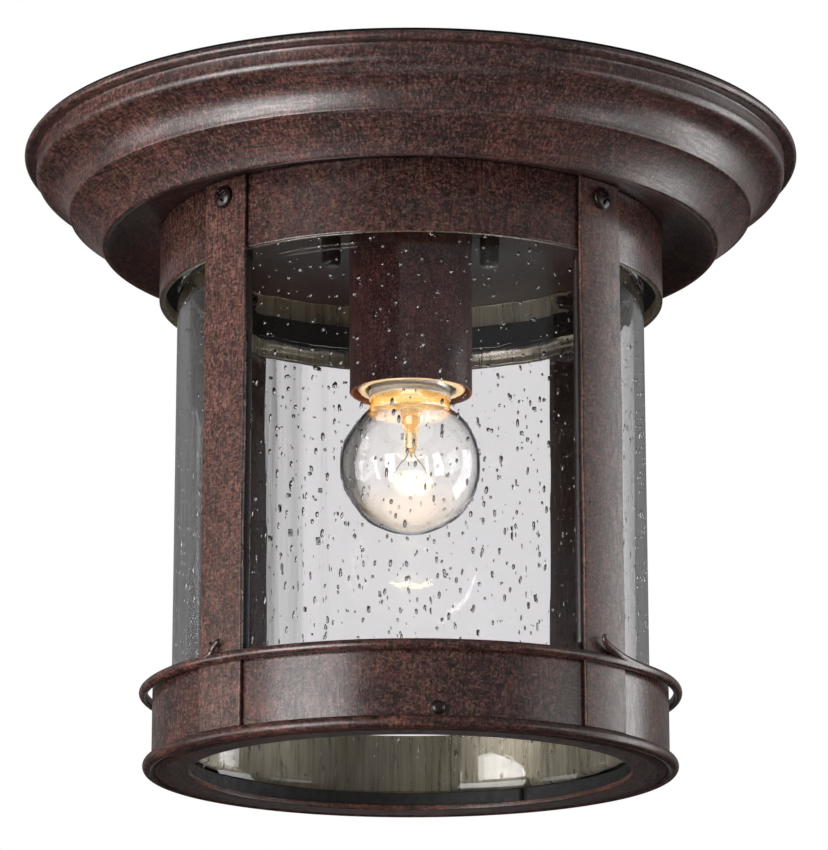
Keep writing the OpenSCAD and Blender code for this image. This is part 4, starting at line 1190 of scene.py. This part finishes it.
@dataclass
class Lampholder:
    """Sleeve, porcelain body and brass screw shell."""

    pitch: float = 3.629

    def thread(self, radius: float, depth: float, top: float, bottom: float, wall: float, rows: int = 90) -> Shell:
        """Rolled screw shell: the radius is radius - depth (1 - cos(2 pi (z / pitch - angle / 2 pi))) / 2.

        Args:
            radius: Radius over the thread's crests.
            depth: Depth of the thread.
            top: Upper end.
            bottom: Lower end.
            wall: Sheet thickness.
            rows: Rows of points along the axis.

        Returns:
            The closed shell.
        """
        z = np.linspace(bottom, top, rows)
        outside, inside = (np.stack([np.full(rows, r), z], axis=1) for r in (radius, radius - wall))
        line = np.vstack([outside, inside[::-1]])

        def roll(r: Array, z: Array, a: Array) -> Array:
            """Press in the thread, which fades out at both ends.

            Args:
                r: Radius of each point.
                z: Its height on the axis.
                a: Its angle.

            Returns:
                Change of the radius.
            """
            fade = np.clip((z - bottom - 1.0) / 1.5, 0, 1) * np.clip((top - 1.0 - z) / 1.5, 0, 1)
            return -depth * fade * (1 - np.cos(TAU * (z / self.pitch + a / TAU))) / 2

        return lathe(line, 96, roll)

    def build(self) -> None:
        """Make the sleeve, the porcelain and the shell."""
        sleeve = rounded([(5.2, -26.4, 0.1), (19.4, -26.4, 0.5), (19.4, -52, 0), (19.4, -78.0, 0.3), (18.6, -78.0, 0.3),
                          (18.6, -52, 0), (18.6, -27.2, 0.3), (5.2, -27.2, 0.1)])
        add_piece("lampholder_sleeve", [lathe(sleeve, 128)], "sleeve_bronze",
                  replaces=["socket_sleeve"])
        body = rounded([(0, -38.0, 0), (17.0, -38.0, 0.8), (17.0, -77.2, 0.9), (14.1, -77.2, 0.7), (14.1, -47.0, 0.5),
                        (0, -47.0, 0)], closed=False)
        add_piece("lampholder_porcelain", [lathe(body, 96)], "porcelain",
                  replaces=["socket_body"])
        shell = self.thread(13.95, 0.5, -51.4, -75.4, 0.4)
        add_piece("lampholder_shell", [shell], "socket_brass", replaces=["screw_shell"])


@dataclass
class GlobeLamp:
    """Clear globe lamp: glass, rolled base, stem, leads and lit filament."""

    globe_r: float = 22.1
    wall: float = 0.8
    centre: float = -101.6
    neck_r: float = 12.3
    neck_top: float = -74.0
    base: tuple[float, float] = (-55.0, -80.0)
    stem_end: float = -98.0
    filament_z: float = -107.0
    filament_r: float = 6.5

    def build(self) -> None:
        """Make the lamp."""
        turn = math.degrees(math.asin((self.neck_r + 1.2) / self.globe_r))
        shoulder = self.centre + self.globe_r * math.cos(math.radians(turn))
        line = np.vstack([
            arc((0, self.centre), self.globe_r, -90, 90 - turn, 56),
            spline([(self.neck_r + 0.75, shoulder + 1.1), (self.neck_r + 0.3, shoulder + 2.4),
                    (self.neck_r, shoulder + 4.5)], 4),
            [[self.neck_r, self.neck_top - 1], [self.neck_r, self.neck_top]],
        ])
        line[0, 0] = 0.0
        inner = offset(line, self.wall)
        inner[0, 0] = 0.0
        inner[-1, 1] = self.neck_top
        globe = lathe(np.vstack([line, inner[::-1]]), 128)
        add_piece("lamp_globe_glass", [globe], "lamp_glass", body="lamp", replaces=["lamp_globe"])
        holder = Lampholder()
        base = holder.thread(13.1, 0.7, self.base[0], self.base[1], 0.4)
        crown = lathe(rounded([(5.5, self.base[0] - 0.4, 0.1), (13.0, self.base[0] - 0.4, 0.15),
                               (13.0, self.base[0], 0.15), (5.5, self.base[0], 0.1)]), 96)
        add_piece("lamp_screw_base", [base, crown], "lamp_aluminium", body="lamp",
                  replaces=["lamp_base"])
        stem = rounded([(0, -78.0, 0), (11.3, -78.0, 0.3), (11.2, -79.2, 0.6), (4.4, -80.6, 2.0), (2.9, -84.0, 1.4),
                        (2.7, -88.0, 1.5), (1.7, -91.0, 1.0), (1.9, -95.6, 0.8), (0, self.stem_end - 0.6, 0)],
                       closed=False, steps=6)
        add_piece("lamp_stem_glass", [lathe(stem, 64)], "stem_glass", body="lamp",
                  replaces=["lamp_stem"])
        self.filament()

    def filament(self) -> None:
        """Make the filament, an arc of fine coil, with its two supports."""
        a = np.radians(np.linspace(190, 350, 700))
        turns = 60 * TAU * np.linspace(0, 1, len(a))
        r = self.filament_r + 0.4 * np.cos(turns)
        path = np.stack([r * np.cos(a), r * np.sin(a),
                         self.filament_z + 0.4 * np.sin(turns) + 0.5 * np.cos(4 * (a - a[0]))], axis=1)
        shells = [wire(path, np.array(0.16), 6)]
        add_piece("lamp_filament_coil", shells, "filament", body="lamp", replaces=["lamp_filament"])
        posts = []
        for angle, side in ((190, -1), (350, 1)):
            x, y = (self.filament_r * f(math.radians(angle)) for f in (math.cos, math.sin))
            points = [(side * 0.9, 0, -94), (side * 1.2, 0, -98.5), (x * 0.6, y * 0.6, -102), (x, y, self.filament_z)]
            posts.append(wire(spline(points, 8), np.array(0.22), 10, up=(0, 1, 0.2)))
        add_piece("lamp_filament_posts", posts, "zinc_steel", body="lamp")


# ---------------------------------------------------------------- studio


@dataclass(frozen=True)
class SoftLight:
    """One soft box: where it stands, where it looks, its size in metres, its power and its colour."""

    name: str
    place: tuple[float, float, float]
    target: tuple[float, float, float]
    size: tuple[float, float]
    power: float
    colour: str = "#ffffff"

    def build(self) -> None:
        """Make the light."""
        data = bpy.data.lights.new(self.name, "AREA")
        data.shape = "RECTANGLE"
        data.size, data.size_y = self.size
        data.energy = self.power
        data.color = linear(self.colour)[:3]
        light = bpy.data.objects.new(self.name, data)
        bpy.context.scene.collection.objects.link(light)
        light.location = self.place
        way = np.array(self.target) - np.array(self.place)
        light.rotation_euler = (math.acos(-way[2] / np.linalg.norm(way)), 0, math.atan2(way[1], way[0]) - TAU / 4)


def level_around(tree: bpy.types.NodeTree, azimuth: bpy.types.NodeSocket,
                 stops: Sequence[tuple[float, float]]) -> bpy.types.NodeSocket:
    """Level of the surroundings that runs straight from stop to stop around the lantern.

    Args:
        tree: The world's tree.
        azimuth: A direction's azimuth in radians.
        stops: Pairs of an azimuth in degrees, from -180 to 180, and the level there.

    Returns:
        The level.
    """
    share = add_node(tree, "ShaderNodeMapRange", [azimuth, -math.pi, math.pi])
    node = add_node(tree, "ShaderNodeValToRGB", [share.outputs["Result"]])
    marks = node.color_ramp.elements
    marks.remove(marks[1])
    for number, (degrees, level) in enumerate(stops):
        mark = marks[0] if number == 0 else marks.new((degrees + 180) / 360)
        mark.position = (degrees + 180) / 360
        mark.color = (level, level, level, 1)
    return node.outputs["Color"]


@dataclass
class Studio:
    """Camera, pale floor, world and lights; places in metres, the glow's sizes in millimetres."""

    floor_z: float = -1.9
    floor_half: float = 9.0
    focal_length: float = 167.67
    camera_place: tuple[float, float, float] = (-0.01398, -1.2139, -0.409)
    camera_rise: float = 14.81
    camera_turn: float = -0.66
    room: float = 0.14
    air_middle: tuple[float, float, float] = (0.0, 0.0, -101.6)
    air_r: float = 20.9
    core_middle: tuple[float, float, float] = (1.0, 0.0, -107.2)
    core_half: tuple[float, float, float] = (8.6, 6.0, 5.4)

    def camera(self) -> None:
        """Place the camera at the photograph's viewing angle."""
        data = bpy.data.cameras.new("camera")
        data.lens = self.focal_length
        data.sensor_width = 36.0
        data.shift_x = 0.004
        data.clip_start = 0.01
        camera = bpy.data.objects.new("camera", data)
        bpy.context.scene.collection.objects.link(camera)
        camera.location = self.camera_place
        camera.rotation_euler = (math.radians(90 + self.camera_rise), 0, math.radians(self.camera_turn))
        bpy.context.scene.camera = camera

    def floor(self) -> None:
        """Lay a plain pale floor well below the lantern; it is pale to the eye and sheds little light upwards."""
        mesh = bpy.data.meshes.new("studio_floor")
        half = self.floor_half
        corners = ((-half, -half), (half, -half), (half, half), (-half, half))
        mesh.from_pydata([(x, y, self.floor_z) for x, y in corners], [], [(0, 1, 2, 3)])
        material = blank_material("matt_floor_paint")
        tree, shader, _ = parts_of(material)
        mottle = grain_noise(tree, axis_coordinates(tree), Grain.EVEN, 0, 400.0, 3.0)
        share = add_node(tree, "ShaderNodeMapRange", [mottle, 0.3, 0.7, 0.0, 1.0], **SMOOTH).outputs[0]
        pale = add_node(tree, "ShaderNodeMix", {0: share, 6: linear("#e4e3e1"), 7: linear("#eeedeb")},
                        data_type="RGBA").outputs[2]
        ray = add_node(tree, "ShaderNodeLightPath").outputs
        seen = add_node(tree, "ShaderNodeMath", [ray["Is Camera Ray"], ray["Is Transmission Ray"]],
                        operation="MAXIMUM").outputs[0]
        colour = add_node(tree, "ShaderNodeMix", {0: seen, 6: linear("#4a4746"), 7: pale}, data_type="RGBA")
        shine = add_node(tree, "ShaderNodeMath", [seen, 0.6], operation="MULTIPLY")
        tree.links.new(colour.outputs[2], shader.inputs["Base Color"])
        tree.links.new(pale, shader.inputs["Emission Color"])
        tree.links.new(shine.outputs[0], shader.inputs["Emission Strength"])
        shader.inputs["Roughness"].default_value = 0.9
        mesh.materials.append(material)
        floor = bpy.data.objects.new("studio_floor", mesh)
        bpy.context.scene.collection.objects.link(floor)

    def world(self) -> None:
        """White surroundings for the camera and for what glass shows, between dark flags, in a dim room.

        The level hangs on the direction's azimuth, 0 at +Y and 180 at the camera, growing towards +X. Narrow dark
        flags beside the picture's field give the glass its dark sides; polished faces see the white field only
        behind the lantern, and a room that is darker at its left, also through glass. After a matt surface all rays
        see the dim room.
        """
        world = bpy.data.worlds.new("studio")
        bpy.context.scene.world = world
        world.use_nodes = True
        tree = world.node_tree
        background = tree.nodes["Background"]
        ray = add_node(tree, "ShaderNodeLightPath").outputs
        way = add_node(tree, "ShaderNodeTexCoord").outputs["Generated"]
        split = add_node(tree, "ShaderNodeSeparateXYZ", [way]).outputs
        azimuth = add_node(tree, "ShaderNodeMath", [split[0], split[1]], operation="ARCTAN2").outputs[0]
        through = level_around(tree, azimuth, ((-45.0, 1.0), (-40.0, 0.07), (-2.9, 0.07), (-2.75, 1.0), (21.0, 1.0),
                                               (23.0, 0.1), (45.0, 0.1), (50.0, 1.0)))
        mirrored = level_around(tree, azimuth, ((-174.2, 0.22), (-173.8, 0.02), (-100.0, 0.04), (-70.0, 0.2),
                                                (-2.8, 0.2), (-2.4, 1.0), (3.6, 1.0), (4.0, 0.2), (90.0, 0.2)))
        rise = add_node(tree, "ShaderNodeMapRange", [split[2], -0.15, 0.1, 0.3, 1.0], **SMOOTH).outputs[0]
        glossy = add_node(tree, "ShaderNodeMath", [mirrored, rise], operation="MULTIPLY").outputs[0]
        bounced, matt = (add_node(tree, "ShaderNodeMath", [ray[depth], 1.0], operation="MINIMUM").outputs[0]
                         for depth in ("Glossy Depth", "Diffuse Depth"))
        level = add_node(tree, "ShaderNodeMix", {0: ray["Is Transmission Ray"], 2: 0.09, 3: through}).outputs[0]
        level = add_node(tree, "ShaderNodeMix", {0: bounced, 2: level, 3: glossy}).outputs[0]
        level = add_node(tree, "ShaderNodeMix", {0: matt, 2: level, 3: self.room}).outputs[0]
        level = add_node(tree, "ShaderNodeMix", {0: ray["Is Camera Ray"], 2: level, 3: 1.0}).outputs[0]
        tree.links.new(level, background.inputs["Strength"])
        background.inputs["Color"].default_value = (1, 1, 1, 1)

    def lights(self) -> None:
        """Place the soft boxes and the lamp's own light."""
        middle = (0.0, 0.0, -0.08)
        for light in (
            SoftLight("key_left", (-0.92, -0.92, -0.37), (0.0, 0.0, -0.3), (0.85, 0.87), 19.0),
            SoftLight("rim_left", (-1.48, -0.1, -0.3), (0.0, 0.0, -0.2), (0.6, 0.7), 4.0),
            SoftLight("side_right", (1.36, -0.63, -0.25), (0.0, 0.0, -0.2), (0.68, 0.6), 2.8),
            SoftLight("rim_right", (1.45, 0.38, -0.25), middle, (0.7, 1.4), 13.0),
            SoftLight("fill_low", (0.5, -1.6, -1.3), middle, (1.8, 1.0), 0.35),
        ):
            light.build()
        data = bpy.data.lights.new("lamp_light", "POINT")
        data.energy = 0.26
        data.color = linear("#ffd990")[:3]
        data.shadow_soft_size = 0.006
        lamp = bpy.data.objects.new("lamp_light", data)
        bpy.context.scene.collection.objects.link(lamp)
        lamp.location = (0, -0.003, -0.107)
        lamp.visible_camera = lamp.visible_glossy = lamp.visible_transmission = False

    def glow(self) -> None:
        """Fill the lamp with a soft glow, as a lit one has in a photograph: light in the air, which is no object.

        It is an even haze in the globe, warmer and stronger towards its bottom, and a bright core around the filament
        that fades from its full light to none as d goes from 0 to 1, d being the distance from its middle as a share
        of its half sizes.
        """
        profile = np.vstack([[[0, -1]], arc((0, 0), 1.0, -82, 82, 22), [[0, 1]]])
        ball = shifted(lathe(self.air_r * profile, 40), *self.air_middle)
        mesh = bpy.data.meshes.new("studio_glow")
        mesh.from_pydata((ball.points * MM).tolist(), [], [face for part in ball.faces for face in part.tolist()])
        material = blank_material("warm_air_glow")
        tree, shader, output = parts_of(material)
        tree.nodes.remove(shader)
        at = axis_coordinates(tree)
        from_core = add_node(tree, "ShaderNodeVectorMath", [at["place"], [c * MM for c in self.core_middle]],
                             operation="SUBTRACT").outputs[0]
        share = add_node(tree, "ShaderNodeVectorMath", [from_core, [per_mm(h) for h in self.core_half]],
                         operation="MULTIPLY").outputs[0]
        far = add_node(tree, "ShaderNodeVectorMath", [share], operation="LENGTH").outputs["Value"]
        # Levels: the core's light, the haze's light, the haze's warmth and the core's warmth
        bright, haze, up, out = (add_node(tree, "ShaderNodeMapRange", inputs, **SMOOTH).outputs[0] for inputs in (
            [far, 0.0, 1.0, 420.0, 0.0], [at["z"], -0.122, -0.104, 19.0, 5.0],
            [at["z"], -0.121, -0.104, 0.0, 1.0], [far, 0.7, 1.0, 0.0, 1.0]))
        both = add_node(tree, "ShaderNodeMath", [bright, haze], operation="ADD").outputs[0]
        warm = add_node(tree, "ShaderNodeMix", {0: up, 6: linear("#ffd08a"), 7: linear("#fff3e0")},
                        data_type="RGBA").outputs[2]
        colour = add_node(tree, "ShaderNodeMix", {0: out, 6: linear("#ffe9b0"), 7: warm}, data_type="RGBA").outputs[2]
        glow = add_node(tree, "ShaderNodeEmission", {"Color": colour, "Strength": both})
        tree.links.new(glow.outputs[0], output.inputs["Volume"])
        mesh.materials.append(material)
        air = bpy.data.objects.new("studio_glow", mesh)
        bpy.context.scene.collection.objects.link(air)
        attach(air, "lamp")

    def build(self) -> None:
        """Set up the studio."""
        self.camera()
        self.floor()
        self.world()
        self.lights()
        self.glow()
        bpy.context.scene.view_settings.view_transform = "Standard"


PLAIN_NODES = {
    "mounting_plate": "zinc_steel", "plate_studs": "zinc_steel", "stud_locknuts": "zinc_steel",
    "cap_nuts": "dark_hardware", "ground_screw": "green_screw", "cage_screws": "zinc_steel",
    "cage_nuts": "zinc_steel", "strap_nuts": "dark_hardware", "nipple": "socket_brass",
    "nipple_locknuts": "zinc_steel", "socket_cap": "zinc_steel", "centre_contact": "socket_brass",
    "hot_lead": "black_insulation", "neutral_lead": "white_insulation", "ground_lead": "green_insulation",
    "wire_connectors": "connector_orange", "lamp_insulator": "lamp_insulator", "lamp_tip": "solder",
}


def main() -> None:
    """Build every sub-assembly, dress the CAD nodes that stay and set up the studio."""
    logging.basicConfig(level=logging.INFO, format="%(name)s %(message)s")
    Canopy().build()
    Cage().build()
    SeededGlass().build()
    Lampholder().build()
    GlobeLamp().build()
    for name, finish in PLAIN_NODES.items():
        dress_node(name, finish)
    Studio().build()


if __name__ == "__main__":
    main()
